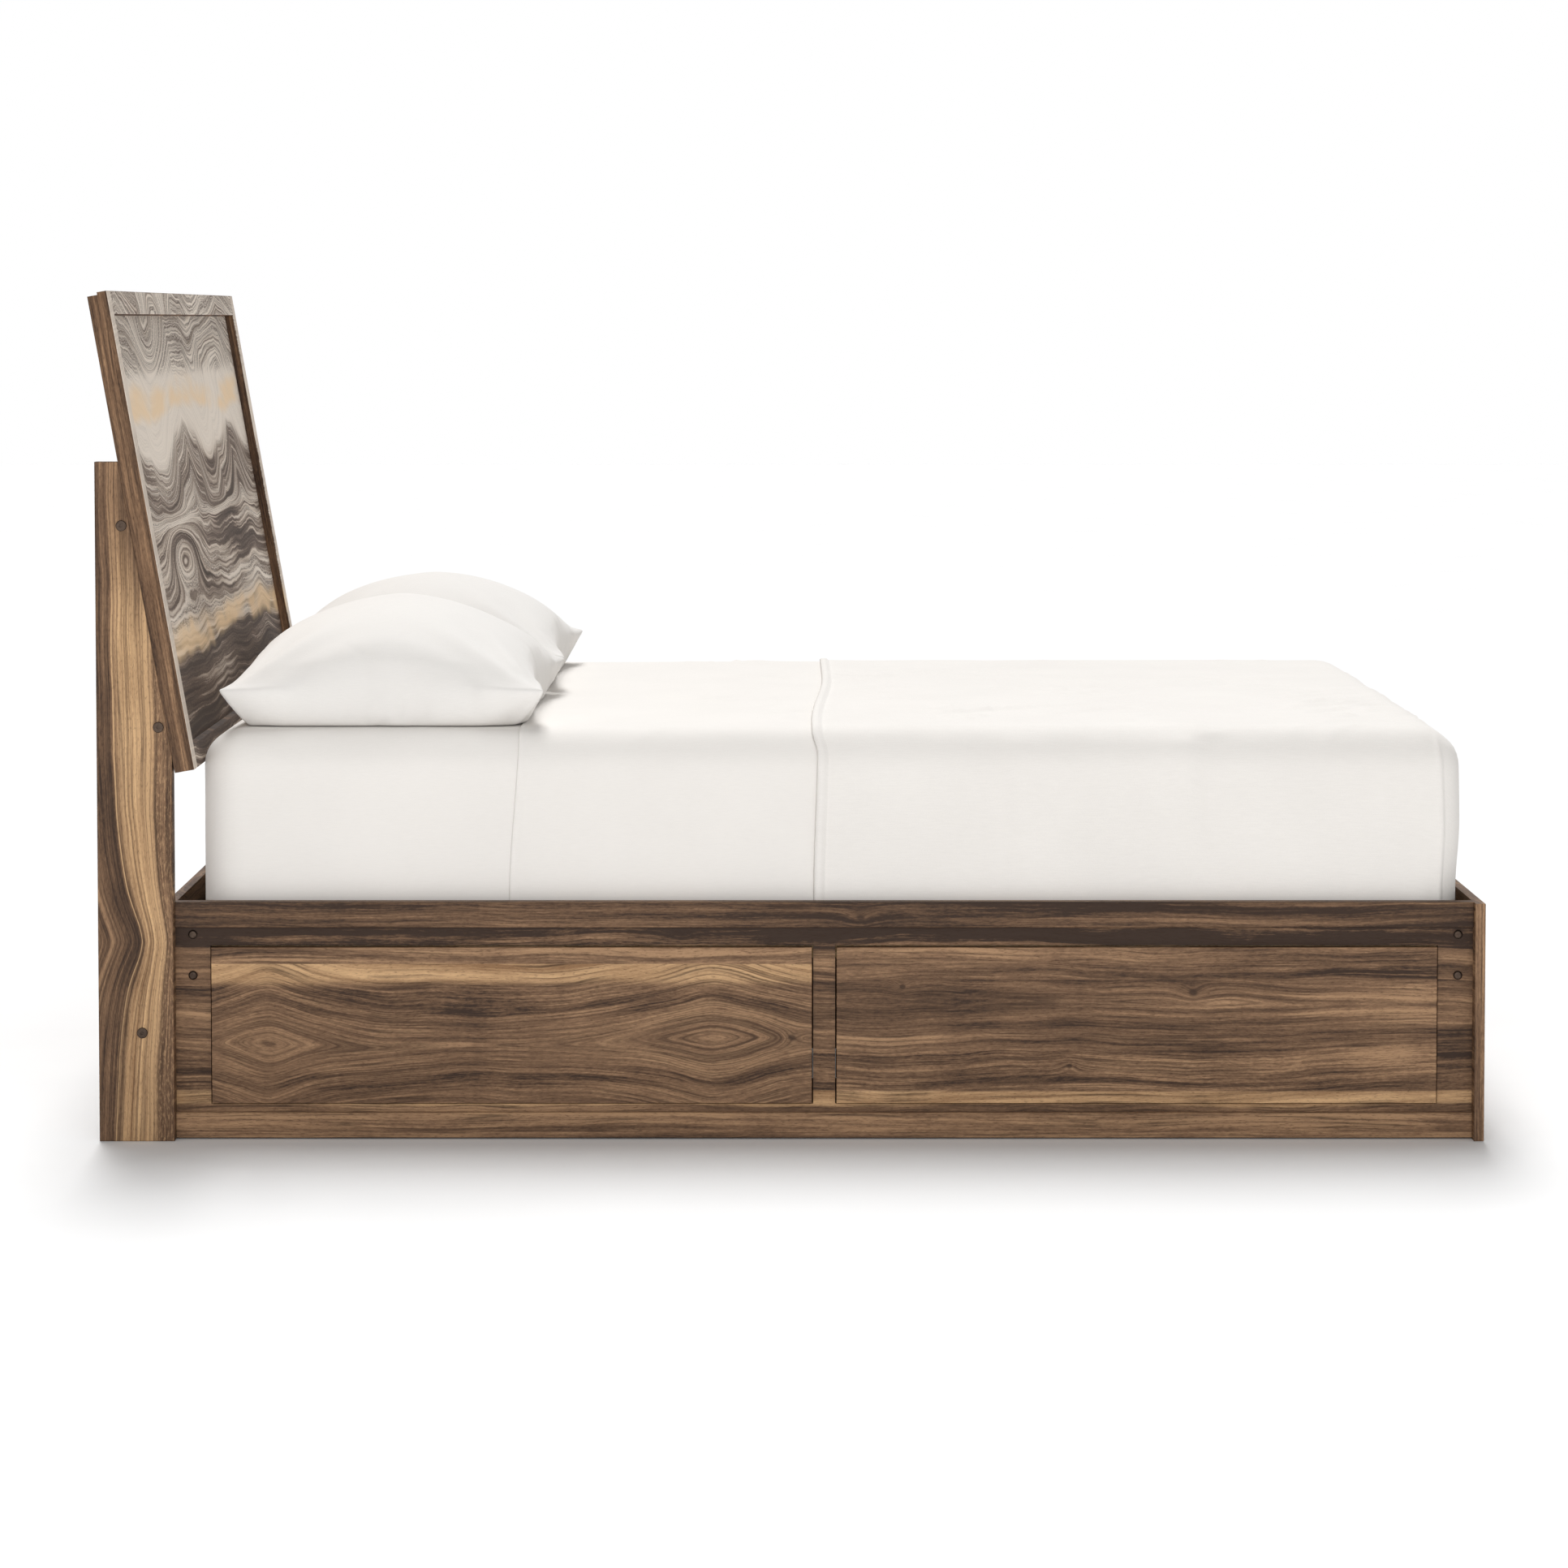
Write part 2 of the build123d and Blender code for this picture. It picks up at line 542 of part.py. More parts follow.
# ---- Drawers ------------------------------------------------------------------------------------
def drawer_front(start):
    """Front board with a finger groove along the middle of its top edge."""
    plain = board(FRONT_IN, STRIP_OUT, start, start + FRONT_LENGTH, FRONT_BOTTOM, FRONT_TOP)
    middle = start + FRONT_LENGTH / 2
    lip = STRIP_OUT - GROOVE_LIP
    groove = board(lip - GROOVE_WIDTH, lip, middle - GROOVE_LENGTH / 2, middle + GROOVE_LENGTH / 2,
                   FRONT_TOP - GROOVE_DEPTH, FRONT_TOP)
    return eased(plain, Axis.X) - groove


def box_span(start):
    """Stations of the outer faces of a drawer box."""
    return start - FRONT_GAP + SLIDE_SPACE, start + FRONT_LENGTH + FRONT_GAP - SLIDE_SPACE


def floor_slot(start):
    """The space that a drawer's floor panel needs in the box walls."""
    low, high = box_span(start)
    bite = BOX_WALL - GROOVE_BITE
    return board(BOX_BACK + bite, FRONT_IN - bite, low + bite, high - bite,
                 FLOOR_BOTTOM, FLOOR_BOTTOM + BOX_FLOOR + FLOOR_PLAY)


def box_sides(start):
    """The two walls of a drawer box that carry the slides."""
    low, high = box_span(start)
    spans = [(low, low + BOX_WALL), (high - BOX_WALL, high)]
    return [board(BOX_BACK, FRONT_IN, *span, BOX_BOTTOM, BOX_TOP) - floor_slot(start) for span in spans]


def box_ends(start):
    """The back wall of a drawer box, and the inner front that the front board is screwed to."""
    low, high = box_span(start)
    spans = [(BOX_BACK, BOX_BACK + BOX_WALL), (FRONT_IN - BOX_WALL, FRONT_IN)]
    return [
        board(*span, low + BOX_WALL, high - BOX_WALL, BOX_BOTTOM, BOX_TOP) - floor_slot(start)
        for span in spans
    ]


def box_floor(start):
    """Thin floor panel, held in grooves."""
    low, high = box_span(start)
    bite = BOX_WALL - GROOVE_BITE + FLOOR_PLAY
    return board(BOX_BACK + bite, FRONT_IN - bite, low + bite, high - bite,
                 FLOOR_BOTTOM, FLOOR_BOTTOM + BOX_FLOOR)


def channel(x0, x1, wall, direction, web, reach, half):
    """A C-shaped steel member: its web at a distance from the wall, its flanges reaching across."""
    def across(a0, a1, z0, z1):
        edges = sorted((wall + direction * a0, wall + direction * a1))
        return board(x0, x1, *edges, SLIDE_MIDDLE + z0, SLIDE_MIDDLE + z1)

    low, high = sorted(reach)
    body = across(web, web + SLIDE_SHEET, -half, half)
    body += across(low, high, half - SLIDE_SHEET, half)
    body += across(low, high, -half, SLIDE_SHEET - half)
    return body


def slide_members(start):
    """Fixed, middle and drawer members of the two slides of one drawer."""
    walls = [(start - FRONT_GAP, 1), (start + FRONT_LENGTH + FRONT_GAP, -1)]
    outer_half = SLIDE_HEIGHT / 2
    middle_half = outer_half - SLIDE_SHEET - SLIDE_BALLS
    inner_half = middle_half - SLIDE_SHEET - SLIDE_BALLS
    middle_web = SLIDE_SHEET + SLIDE_BALLS / 2
    inner_web = SLIDE_SPACE - SLIDE_SHEET
    fixed = [
        channel(SLIDE_BACK, SLIDE_FRONT, wall, way, 0, (0, SLIDE_SPACE * FIXED_LIP), outer_half)
        for wall, way in walls
    ]
    middle = [
        channel(SLIDE_BACK + MIDDLE_SHORTER, SLIDE_FRONT - MIDDLE_SHORTER, wall, way, middle_web,
                (middle_web, SLIDE_SPACE * MIDDLE_LIP), middle_half)
        for wall, way in walls
    ]
    inner = [
        channel(SLIDE_BACK, SLIDE_FRONT, wall, way, inner_web,
                (SLIDE_SPACE * INNER_LIP, SLIDE_SPACE), inner_half)
        for wall, way in walls
    ]
    return fixed, middle, inner


# ---- Bedding ------------------------------------------------------------------------------------
def padded_block(grow):
    """The mattress shape, grown by a distance on its top, sides and ends."""
    half = MATTRESS_WIDTH / 2 + grow
    top = DECK + MATTRESS_HEIGHT + grow
    block = board(-half, half, MATTRESS_START - grow, MATTRESS_END + grow, DECK, top)
    block = fillet(block.edges().filter_by(Axis.Z), MATTRESS_CORNER + grow)
    block = fillet(block.faces().sort_by(Axis.Z)[-1].edges(), MATTRESS_TOP_EDGE + grow)
    return fillet(block.faces().sort_by(Axis.Z)[0].edges(), MATTRESS_BOTTOM_EDGE)


def bedding_layer(inner, thickness, start):
    """A cloth layer over the mattress, from a station to the foot end, tucked in below."""
    shell = padded_block(inner + thickness) - padded_block(inner)
    keep_top = DECK + 2 * MATTRESS_HEIGHT
    keep = board(-BED_SIDE, BED_SIDE, start, BED_END, DECK + TUCK_HEIGHT, keep_top)
    return shell & keep


def pillow_profile(half):
    """Points of a pillow's section: flat underside, seam at the edge, crowned top."""
    flat = half - PILLOW_FLAT
    crown = ThreePointArc((-half, PILLOW_SEAM), (0, PILLOW_HEIGHT), (half, PILLOW_SEAM))
    under = Polyline((half, PILLOW_SEAM), (flat, 0), (-flat, 0), (-half, PILLOW_SEAM))
    return make_face(crown + under)


def pillow():
    """Right pillow: what two crowned sections have in common."""
    base = DECK + MATTRESS_HEIGHT + LAYER_AIR + SHEET_THICKNESS + LAYER_AIR
    along = extrude(Plane.YZ * pillow_profile(PILLOW_DEPTH / 2), PILLOW_WIDTH, both=True)
    across = extrude(Plane.XZ * pillow_profile(PILLOW_WIDTH / 2), PILLOW_WIDTH, both=True)
    return Pos((PILLOW_WIDTH + PILLOW_GAP) / 2, y_at(PILLOW_STATION), base) * (along & across)


# ---- Write every node -----------------------------------------------------------------------------
def main():
    """Build every node and write its STEP file."""
    save_pair("leg", leg())
    headboard()
    save_both("headboard_cleats", headboard_cleat())
    save("head_cross_rail", head_rail())
    save_both("leg_bolts", *leg_bolts())
    save_both("barrel_nuts", *barrel_nuts())

    save_pair("side_panel", side_panel())
    save_pair("top_strip", strip(TOP_STRIP_BOTTOM))
    save_pair("bottom_strip", strip(PANEL_LIFT))
    save("footboard", footboard())
    save_both("corner_brackets", bracket("head"), bracket("foot"))
    save_both("bracket_screws", *bracket_screws("head"), *bracket_screws("foot"))
    save_both("rail_bolts", *rail_bolts())
    save_both("rail_nuts", *rail_nuts())

    half_board = BOARD / 2
    save("centre_spine", board(-half_board, half_board, BASE_START, BASE_END, PANEL_LIFT, SLAT_BOTTOM))
    save_both("partitions", *partitions())
    save_both("slat_ledgers", ledger())
    save("slats", *slats())
    screw_x = PANEL_IN - LEDGER_THICKNESS / 2
    screws = [slat_screw(start + SLAT_WIDTH / 2, screw_x) for start in slat_stations()]
    save_both("slat_screws", *screws)
    side_glides, centre_glides = glides()
    save("floor_glides", *side_glides, *other_side(side_glides), *centre_glides)

    fixed_members = []
    for end, start in FRONT_STATIONS.items():
        fixed, middle, inner = slide_members(start)
        fixed_members += fixed
        pieces = {
            "front": [drawer_front(start)],
            "box_sides": box_sides(start),
            "box_ends": box_ends(start),
            "floor": [box_floor(start)],
            "slide_inner": inner,
            "slide_middle": middle,
        }
        for name, shapes in pieces.items():
            save(f"drawer_right_{end}_{name}", *shapes)
            save(f"drawer_left_{end}_{name}", *other_side(shapes))
    save_both("slide_fixed_members", *fixed_members)

    save("mattress", padded_block(0))
    fitted = LAYER_AIR
    top_sheet = fitted + SHEET_THICKNESS + LAYER_AIR
    coverlet = top_sheet + SHEET_THICKNESS + LAYER_AIR
    save("fitted_sheet", bedding_layer(fitted, SHEET_THICKNESS, BED_START))
    save("top_sheet", bedding_layer(top_sheet, SHEET_THICKNESS, TOP_SHEET_STATION))
    save("coverlet", bedding_layer(coverlet, COVERLET_THICKNESS, COVERLET_STATION))
    save_pair("pillow", pillow())


main()
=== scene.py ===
# %% [markdown]
# # A storage bed, from its frame to its finish
# The wooden parts of this bed come ready made, as a frame of exact solids.  This lesson gives them
# their finishes and makes the soft things that lie on them: a mattress, two sheets, a coverlet and
# two pillows.  Lengths are in metres, +Z is up and +Y points to the head end.

# %% Load the frame
import math

import bmesh
import bpy
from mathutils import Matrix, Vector, noise


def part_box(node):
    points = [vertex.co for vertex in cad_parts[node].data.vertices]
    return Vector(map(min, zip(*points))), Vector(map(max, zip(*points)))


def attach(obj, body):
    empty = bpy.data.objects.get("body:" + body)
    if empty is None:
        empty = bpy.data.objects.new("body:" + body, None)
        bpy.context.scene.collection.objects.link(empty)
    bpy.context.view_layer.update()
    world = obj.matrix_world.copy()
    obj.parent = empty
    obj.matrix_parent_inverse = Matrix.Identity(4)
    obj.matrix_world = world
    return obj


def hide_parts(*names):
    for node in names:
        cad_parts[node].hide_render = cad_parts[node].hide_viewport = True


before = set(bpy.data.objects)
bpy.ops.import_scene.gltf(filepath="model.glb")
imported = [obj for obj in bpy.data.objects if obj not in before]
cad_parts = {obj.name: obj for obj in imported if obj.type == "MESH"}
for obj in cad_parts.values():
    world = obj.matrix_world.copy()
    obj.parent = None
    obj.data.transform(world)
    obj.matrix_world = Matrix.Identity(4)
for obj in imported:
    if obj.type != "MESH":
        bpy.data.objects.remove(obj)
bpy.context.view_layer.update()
scene = bpy.context.scene

# %% [markdown]
# ## The places that everything else follows
# A node's box gives its lowest and highest corner.  The soft pieces take their size from the boxes
# of the solids that they stand for, and the grain of each board is laid out from the board's box.

# %% Places
LEG_LOW, LEG_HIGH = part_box("leg_left")
NEAR_SIDE = LEG_LOW.x                  # outer face of the left leg
BED_SIDE = abs(NEAR_SIDE)
HEAD_END = LEG_HIGH.y                  # back edge of the legs
FLOOR = LEG_LOW.z
BED_LOW, BED_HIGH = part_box("mattress")
LEAN = math.radians(10)                # the headboard leans back by this much


def along_bed(station):
    """Y of a place counted in metres from the back edge of the legs towards the foot."""
    return HEAD_END - station


print("near side", round(NEAR_SIDE, 4), "head end", round(HEAD_END, 4))

# %% [markdown]
# ## Camera
# A long lens far off keeps the sides of the bed nearly parallel.  The camera looks a little down,
# and a small lens shift takes up the rest, so the legs stay almost upright in the picture.

# %% Camera
CAMERA_HEIGHT = 1.226
CAMERA_AWAY = 6.468
CAMERA_STATION = 1.0233
PITCH = math.radians(3.0)

lens = bpy.data.cameras.new("camera")
lens.sensor_width = 36.0
lens.lens = 100.15
lens.shift_y = -0.150
camera = bpy.data.objects.new("camera", lens)
camera.location = (NEAR_SIDE - CAMERA_AWAY, along_bed(CAMERA_STATION), FLOOR + CAMERA_HEIGHT)
gaze = Vector((math.cos(PITCH), 0, -math.sin(PITCH)))
camera.rotation_euler = gaze.to_track_quat("-Z", "Y").to_euler()
scene.collection.objects.link(camera)
scene.camera = camera
print("camera at", [round(value, 3) for value in camera.location])

# %% [markdown]
# ## Studio light
# A white room surrounds the bed, and the camera sees it as plain white.  Three soft suns in an arc
# above and behind throw the short shadow in front of the bed: together they blur it forwards and
# leave it fairly crisp at the two ends.  A large panel behind the camera opens the shaded side.

# %% Light and floor
def add_light(name, kind, energy, place, target):
    """A lamp at a place, turned to look at a target."""
    lamp = bpy.data.lights.new(name, kind)
    lamp.energy = energy
    lit = bpy.data.objects.new(name, lamp)
    lit.location = place
    lit.rotation_euler = (Vector(target) - Vector(place)).to_track_quat("-Z", "Y").to_euler()
    lit.visible_camera = False
    scene.collection.objects.link(lit)
    return lamp


SUNS = ((17, 0.88), (33, 1.17), (49, 0.88))     # degrees from straight above, and strength
SUN_HEIGHT = 4.0
SUN_SOFTNESS = math.radians(20)
PANEL_POWER = 169.0
ROOM_LIGHT = 0.31

for number, (tilt, energy) in enumerate(SUNS):
    tilt = math.radians(tilt)
    high = (SUN_HEIGHT * math.sin(tilt), 0.25, SUN_HEIGHT * math.cos(tilt))
    sun = add_light(f"overhead_sun_{number}", "SUN", energy, high, (0.0, 0.0, 0.0))
    sun.angle = SUN_SOFTNESS
panel = add_light("front_panel", "AREA", PANEL_POWER, (-7.0, 0.0, 1.9), (0.0, 0.0, 0.5))
panel.shape = "RECTANGLE"
panel.size = 5.0
panel.size_y = 2.5

world = bpy.data.worlds.new("white_room")
scene.world = world
world.use_nodes = True
sky = world.node_tree
sky.nodes.clear()
room = sky.nodes.new("ShaderNodeBackground")
room.inputs["Strength"].default_value = ROOM_LIGHT
room.inputs["Color"].default_value = (1, 1, 1, 1)
backdrop = sky.nodes.new("ShaderNodeBackground")
backdrop.inputs["Color"].default_value = (1, 1, 1, 1)
rays = sky.nodes.new("ShaderNodeLightPath")
choice = sky.nodes.new("ShaderNodeMixShader")
sky_out = sky.nodes.new("ShaderNodeOutputWorld")
sky.links.new(rays.outputs["Is Camera Ray"], choice.inputs["Fac"])
sky.links.new(room.outputs[0], choice.inputs[1])
sky.links.new(backdrop.outputs[0], choice.inputs[2])
sky.links.new(choice.outputs[0], sky_out.inputs["Surface"])
scene.view_settings.view_transform = "Standard"
print("lights: three soft suns, front panel, white room")

# %% [markdown]
# ## A small language for shaders
# A pattern is arithmetic on the place of a point.  `Wire` wraps one output of a node, so that
# `1 - mask * 2` adds the Math nodes by itself.  `Finish` is a material under construction: its
# method `node` adds any other node from its type, its settings and the values of its sockets.

# %% Shader helpers
class Wire:
    """One output of a shader node, which can be used in sums."""

    def __init__(self, finish, socket):
        self.finish = finish
        self.socket = socket

    def maths(self, operation, *values):
        return self.finish.node("ShaderNodeMath", {"operation": operation}, dict(enumerate(values)))

    def __add__(self, other):
        return self.maths("ADD", self, other)

    def __radd__(self, other):
        return self.maths("ADD", other, self)

    def __sub__(self, other):
        return self.maths("SUBTRACT", self, other)

    def __rsub__(self, other):
        return self.maths("SUBTRACT", other, self)

    def __mul__(self, other):
        return self.maths("MULTIPLY", self, other)

    def __rmul__(self, other):
        return self.maths("MULTIPLY", other, self)

    def __rtruediv__(self, other):
        return self.maths("DIVIDE", other, self)

    def __pow__(self, other):
        return self.maths("POWER", self, other)

    def __gt__(self, other):
        return self.maths("GREATER_THAN", self, other)

    def size(self):
        return self.maths("ABSOLUTE", self)

    def sine(self):
        return self.maths("SINE", self)

    def fraction(self):
        return self.maths("FRACT", self)

    def floor(self):
        return self.maths("FLOOR", self)

    def ridges(self, power):
        """Lines where a noise passes its middle value; a higher power makes them thinner."""
        return (1 - (self * 2 - 1).size()) ** power


class Finish:
    """A material under construction, with its Principled shader."""

    def __init__(self, name, roughness=0.6, **sockets):
        self.material = bpy.data.materials.new(name)
        self.material.use_nodes = True
        self.tree = self.material.node_tree
        self.shader = self.tree.nodes["Principled BSDF"]
        self.shader.inputs["Roughness"].default_value = roughness
        for socket, value in sockets.items():
            self.shader.inputs[socket.replace("_", " ")].default_value = value
        place = self.node("ShaderNodeTexCoord", output="Object")
        split = self.tree.nodes.new("ShaderNodeSeparateXYZ")
        self.feed(split.inputs[0], place)
        self.place = place
        self.x, self.y, self.z = [Wire(self, socket) for socket in split.outputs]

    def feed(self, socket, value):
        if isinstance(value, Wire):
            self.tree.links.new(value.socket, socket)
        else:
            socket.default_value = value

    def node(self, kind, settings=None, inputs=None, output=0):
        made = self.tree.nodes.new(kind)
        for name, value in (settings or {}).items():
            if name == "stops":
                set_stops(made.color_ramp, value)
            else:
                setattr(made, name, value)
        for name, value in (inputs or {}).items():
            self.feed(made.inputs[name], value)
        return Wire(self, made.outputs[output])

    def vector(self, x, y, z=0.0):
        return self.node("ShaderNodeCombineXYZ", inputs={0: x, 1: y, 2: z})

    def noise(self, vector, detail=2.0, roughness=0.5):
        sockets = {"Vector": vector, "Scale": 1.0, "Detail": detail, "Roughness": roughness}
        return self.node("ShaderNodeTexNoise", inputs=sockets)

    def ramp(self, value, stops):
        return self.node("ShaderNodeValToRGB", {"stops": stops}, {"Fac": value})

    def step(self, value, low, high):
        """0 below low, 1 above high, and smooth between."""
        sockets = {"Value": value, "From Min": low, "From Max": high}
        return self.node("ShaderNodeMapRange", {"interpolation_type": "SMOOTHSTEP"}, sockets)

    def mix(self, factor, first, second):
        sockets = {0: factor, 6: first, 7: second}
        return self.node("ShaderNodeMix", {"data_type": "RGBA"}, sockets, output=2)

    def sum(self, *parts):
        """Add noises that swing round zero, each with its weight."""
        total, *others = [(value - 0.5) * weight for value, weight in parts]
        for other in others:
            total = total + other
        return total

    def colour(self, value):
        self.feed(self.shader.inputs["Base Color"], value)

    def rough(self, value):
        self.feed(self.shader.inputs["Roughness"], value)

    def bump(self, height, distance, strength=1.0):
        sockets = {"Height": height, "Distance": distance, "Strength": strength}
        bumped = self.node("ShaderNodeBump", inputs=sockets)
        self.feed(self.shader.inputs["Normal"], bumped)


def set_stops(ramp, stops):
    """Fill a colour ramp with (position, colour) pairs."""
    while len(ramp.elements) < len(stops):
        ramp.elements.new(1.0)
    for element, (position, colour) in zip(ramp.elements, stops):
        element.position = position
        element.color = colour


def paint(red, green, blue):
    """A screen colour, 0 to 255, as the linear colour that a shader takes."""
    def linear(value):
        value = value / 255
        return value / 12.92 if value <= 0.04045 else ((value + 0.055) / 1.055) ** 2.4

    return (linear(red), linear(green), linear(blue), 1.0)


def grey(share):
    """A grey that is the same in every channel, 0 to 1."""
    return (share, share, share, 1.0)


print("shader helpers ready")

# %% [markdown]
# ## Walnut
# The boards are covered with a printed walnut.  A flat-sawn board cuts the rings of a log at a
# shallow angle, so the rings show as nested ovals and points round each heart, and as long straight
# lines away from it.  `rings` gives how far a point is from the heart of its log: its contours are
# the grain.  Noise stretched along those contours then gives light and dark growth, thin dark
# lines, pores and pale sapwood at the edge of a plank.

# %% Walnut pattern
DARK_GROWTH = paint(56, 39, 28)
BROWN_GROWTH = paint(103, 77, 56)
MID_GROWTH = paint(127, 97, 72)
LIGHT_GROWTH = paint(172, 136, 102)
SAP_SHADE = paint(146, 110, 76)
SAP_LIGHT = paint(220, 180, 134)
LINE_BROWN = paint(54, 37, 26)
WALNUT_STOPS = [(0.14, DARK_GROWTH), (0.38, BROWN_GROWTH), (0.56, MID_GROWTH), (0.88, LIGHT_GROWTH)]
DEPTH_LEAN = 0.4           # how far the grain climbs with the depth of a board
GRAIN_DEPTH = 0.0004


def rings(finish, along, across, hearts, knots, wander, seed):
    """Distance of each point from the heart of its log, bent by slow noise."""
    slow = finish.noise(finish.vector(along * 2.2, across * 3.4, seed))
    quick = finish.noise(finish.vector(along * 9, across * 16, seed + 4))
    bent = across + (slow - 0.5) * wander + (quick - 0.5) * (wander * 0.22)
    reach = bent
    for height, swell, starts in hearts:
        near = 0.0
        for start, length in starts:
            run = ((along - start) * (1 / length)).size()
            near = near + 1 / (1 + run ** 1.7)
        rise = bent - height
        reach = (rise * rise + 0.000009) ** 0.5 + (1 - near) * swell
    for start, height, size in knots:
        reach = reach + closeness(along, bent, start, height, size * 2.2, size * 1.3) * (size * 1.5)
    return reach, bent


def closeness(along, across, start, height, length, width):
    """1 on a knot, and less with the distance from it."""
    run = (along - start) * (1 / length)
    rise = (across - height) * (1 / width)
    return 1 / (run * run + rise * rise + 1)


def walnut_colour(finish, along, across, seed, hearts=(), sap=(), joints=(), bands=(), knots=(),
                  wander=0.035, tone=0.0):
    """Colour and relief of walnut; a joint is a height where one plank meets the next."""
    for number, height in enumerate(joints):
        past = across > height
        along = along + past * (1.37 + 0.61 * number)
        seed = seed + past * (5.3 + number)
    reach, bent = rings(finish, along, across, hearts, knots, wander, seed)
    growth = finish.noise(finish.vector(reach * 105, along * 1.1, seed + 1), detail=4,
                          roughness=0.65)
    broad = finish.noise(finish.vector(reach * 26, along * 1.3, seed + 2))
    figure = finish.noise(finish.vector(along * 10, across * 4, seed + 3))
    fibre = finish.noise(finish.vector(reach * 330, along * 13, seed + 5), detail=3, roughness=0.65)
    speck = finish.noise(finish.vector(along * 95, bent * 330, seed + 9), roughness=0.7)
    thin = finish.noise(finish.vector(reach * 120, along * 1.6, seed + 6), detail=1)
    line = thin.ridges(14) * finish.step(figure, 0.36, 0.60)
    pores = finish.step(finish.noise(finish.vector(along * 120, bent * 640, seed + 7)), 0.56, 0.70)
    level = finish.sum((growth, 1.35), (broad, 1.25), (figure, 0.45), (fibre, 0.70), (speck, 0.45))
    # A band shifts the tone of a range of heights: mostly print, on the side panels also painted
    # shade.
    for low, high, soft, shift in bands:
        inside = finish.step(bent, low - soft, low) * (1 - finish.step(bent, high, high + soft))
        level = level + inside * shift + level * inside * 0.35
    colour = finish.ramp(level + (0.51 + tone), WALNUT_STOPS)
    pale = finish.ramp(level * 0.8 + 0.45, [(0.1, SAP_SHADE), (0.75, SAP_LIGHT)])
    edge = slowly(finish, along, seed) - 0.5
    for low, high, soft_low, soft_high, swing in sap:
        foot = bent * 0.5 + across * 0.5 + edge * swing + (fibre - 0.5) * 0.006
        inside = finish.step(foot, low - soft_low, low)
        inside = inside * (1 - finish.step(across, high, high + soft_high))
        colour = finish.mix(inside * 0.94, colour, pale)
    for start, height, size in knots:
        core = closeness(along, bent, start, height, size * 0.6, size * 0.45)
        colour = finish.mix(finish.step(core, 0.30, 0.75) * 0.75, colour, LINE_BROWN)
    colour = finish.mix(line * 0.75, colour, LINE_BROWN)
    colour = finish.mix(pores * 0.40, colour, LINE_BROWN)
    return colour, growth * 0.5 + fibre * 0.4 - pores * 0.7 - line * 0.5


def slowly(finish, along, seed):
    """A slow wave along a board, for the edge of its sapwood."""
    return finish.noise(finish.vector(along * 5, 0.0, seed + 8))


def walnut(name, along, across, seed, **pattern):
    """A walnut finish; along and across name the axes that the grain runs along and across."""
    finish = Finish(name, roughness=0.5, Specular_IOR_Level=0.22)
    axes = {"x": finish.x, "y": finish.y * -1, "z": finish.z}
    third = axes[({"x", "y", "z"} - {along, across}).pop()]
    height = axes[across] + third * DEPTH_LEAN
    colour, relief = walnut_colour(finish, axes[along], height, seed, **pattern)
    finish.colour(colour)
    finish.rough(0.58 - relief * 0.12)
    finish.bump(relief, GRAIN_DEPTH, 0.5)
    return finish.material


def dress(node, material):
    """Give a CAD node one material."""
    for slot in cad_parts[node].material_slots:
        slot.material = material


print("walnut pattern ready")

# %% [markdown]
# ### Boards of the base
# Each board has its own hearts and its own sapwood.  A line of hearts is a height, the amount by
# which the rings swell round each heart, and a list of places along with the length of each oval.
# A knot is a place along, a height and a size.  Places along are counted from the middle of the
# bed towards the foot.

# %% Walnut on the base
PANEL_X = abs(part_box("side_panel_left")[0].x)
FRONT_X = abs(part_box("drawer_left_head_front")[0].x)
STREAKS = (0.078, 0.128, 0.010, -0.05)     # the dark straight lines low on every board
SAP_LOW = (0.054, 0.070, 0.006, 0.004, 0.006)

FRONT_PRINTS = {
    "head": {
        "hearts": [(0.149, 0.050, [(-0.780, 0.085), (-0.115, 0.120)])],
        "sap": [(0.246, 0.2640, 0.016, 0.0006, 0.014)],
        "bands": [(0.196, 0.226, 0.012, -0.07), (0.086, 0.100, 0.012, -0.08)],
        "joints": [0.2642],
        "knots": [(0.004, 0.150, 0.010)],
        "wander": 0.047,
        "tone": 0.05,
    },
    "foot": {
        "hearts": [(0.206, 0.016, [(0.612, 0.12), (0.15, 0.16)])],
        "sap": [SAP_LOW],
        "bands": [STREAKS],
        "joints": [0.2405, 0.2645],
        "knots": [(0.605, 0.222, 0.011), (0.170, 0.226, 0.008), (0.420, 0.110, 0.007)],
        "tone": 0.07,
    },
}
# The panel's second band, 0.29 to 0.33 m up, is painted shade under the top strip's overhang.
PANEL_PRINT_AND_SHADE = {"sap": [SAP_LOW], "bands": [STREAKS, (0.290, 0.330, 0.004, -0.47)],
               "joints": [0.2900], "knots": [(1.208, 0.305, 0.009)], "tone": -0.02, "wander": 0.045}


def shifted(pattern, lean):
    """A pattern moved up by lean, to make good what the depth of the board adds to its height."""
    moved = dict(pattern)
    moved["hearts"] = [(height + lean, *rest) for height, *rest in pattern.get("hearts", [])]
    for kind in ("sap", "bands"):
        moved[kind] = [(low + lean, high + lean, *rest)
                       for low, high, *rest in pattern.get(kind, [])]
    moved["joints"] = [height + lean for height in pattern.get("joints", [])]
    moved["knots"] = [(start, height + lean, size)
                      for start, height, size in pattern.get("knots", [])]
    return moved


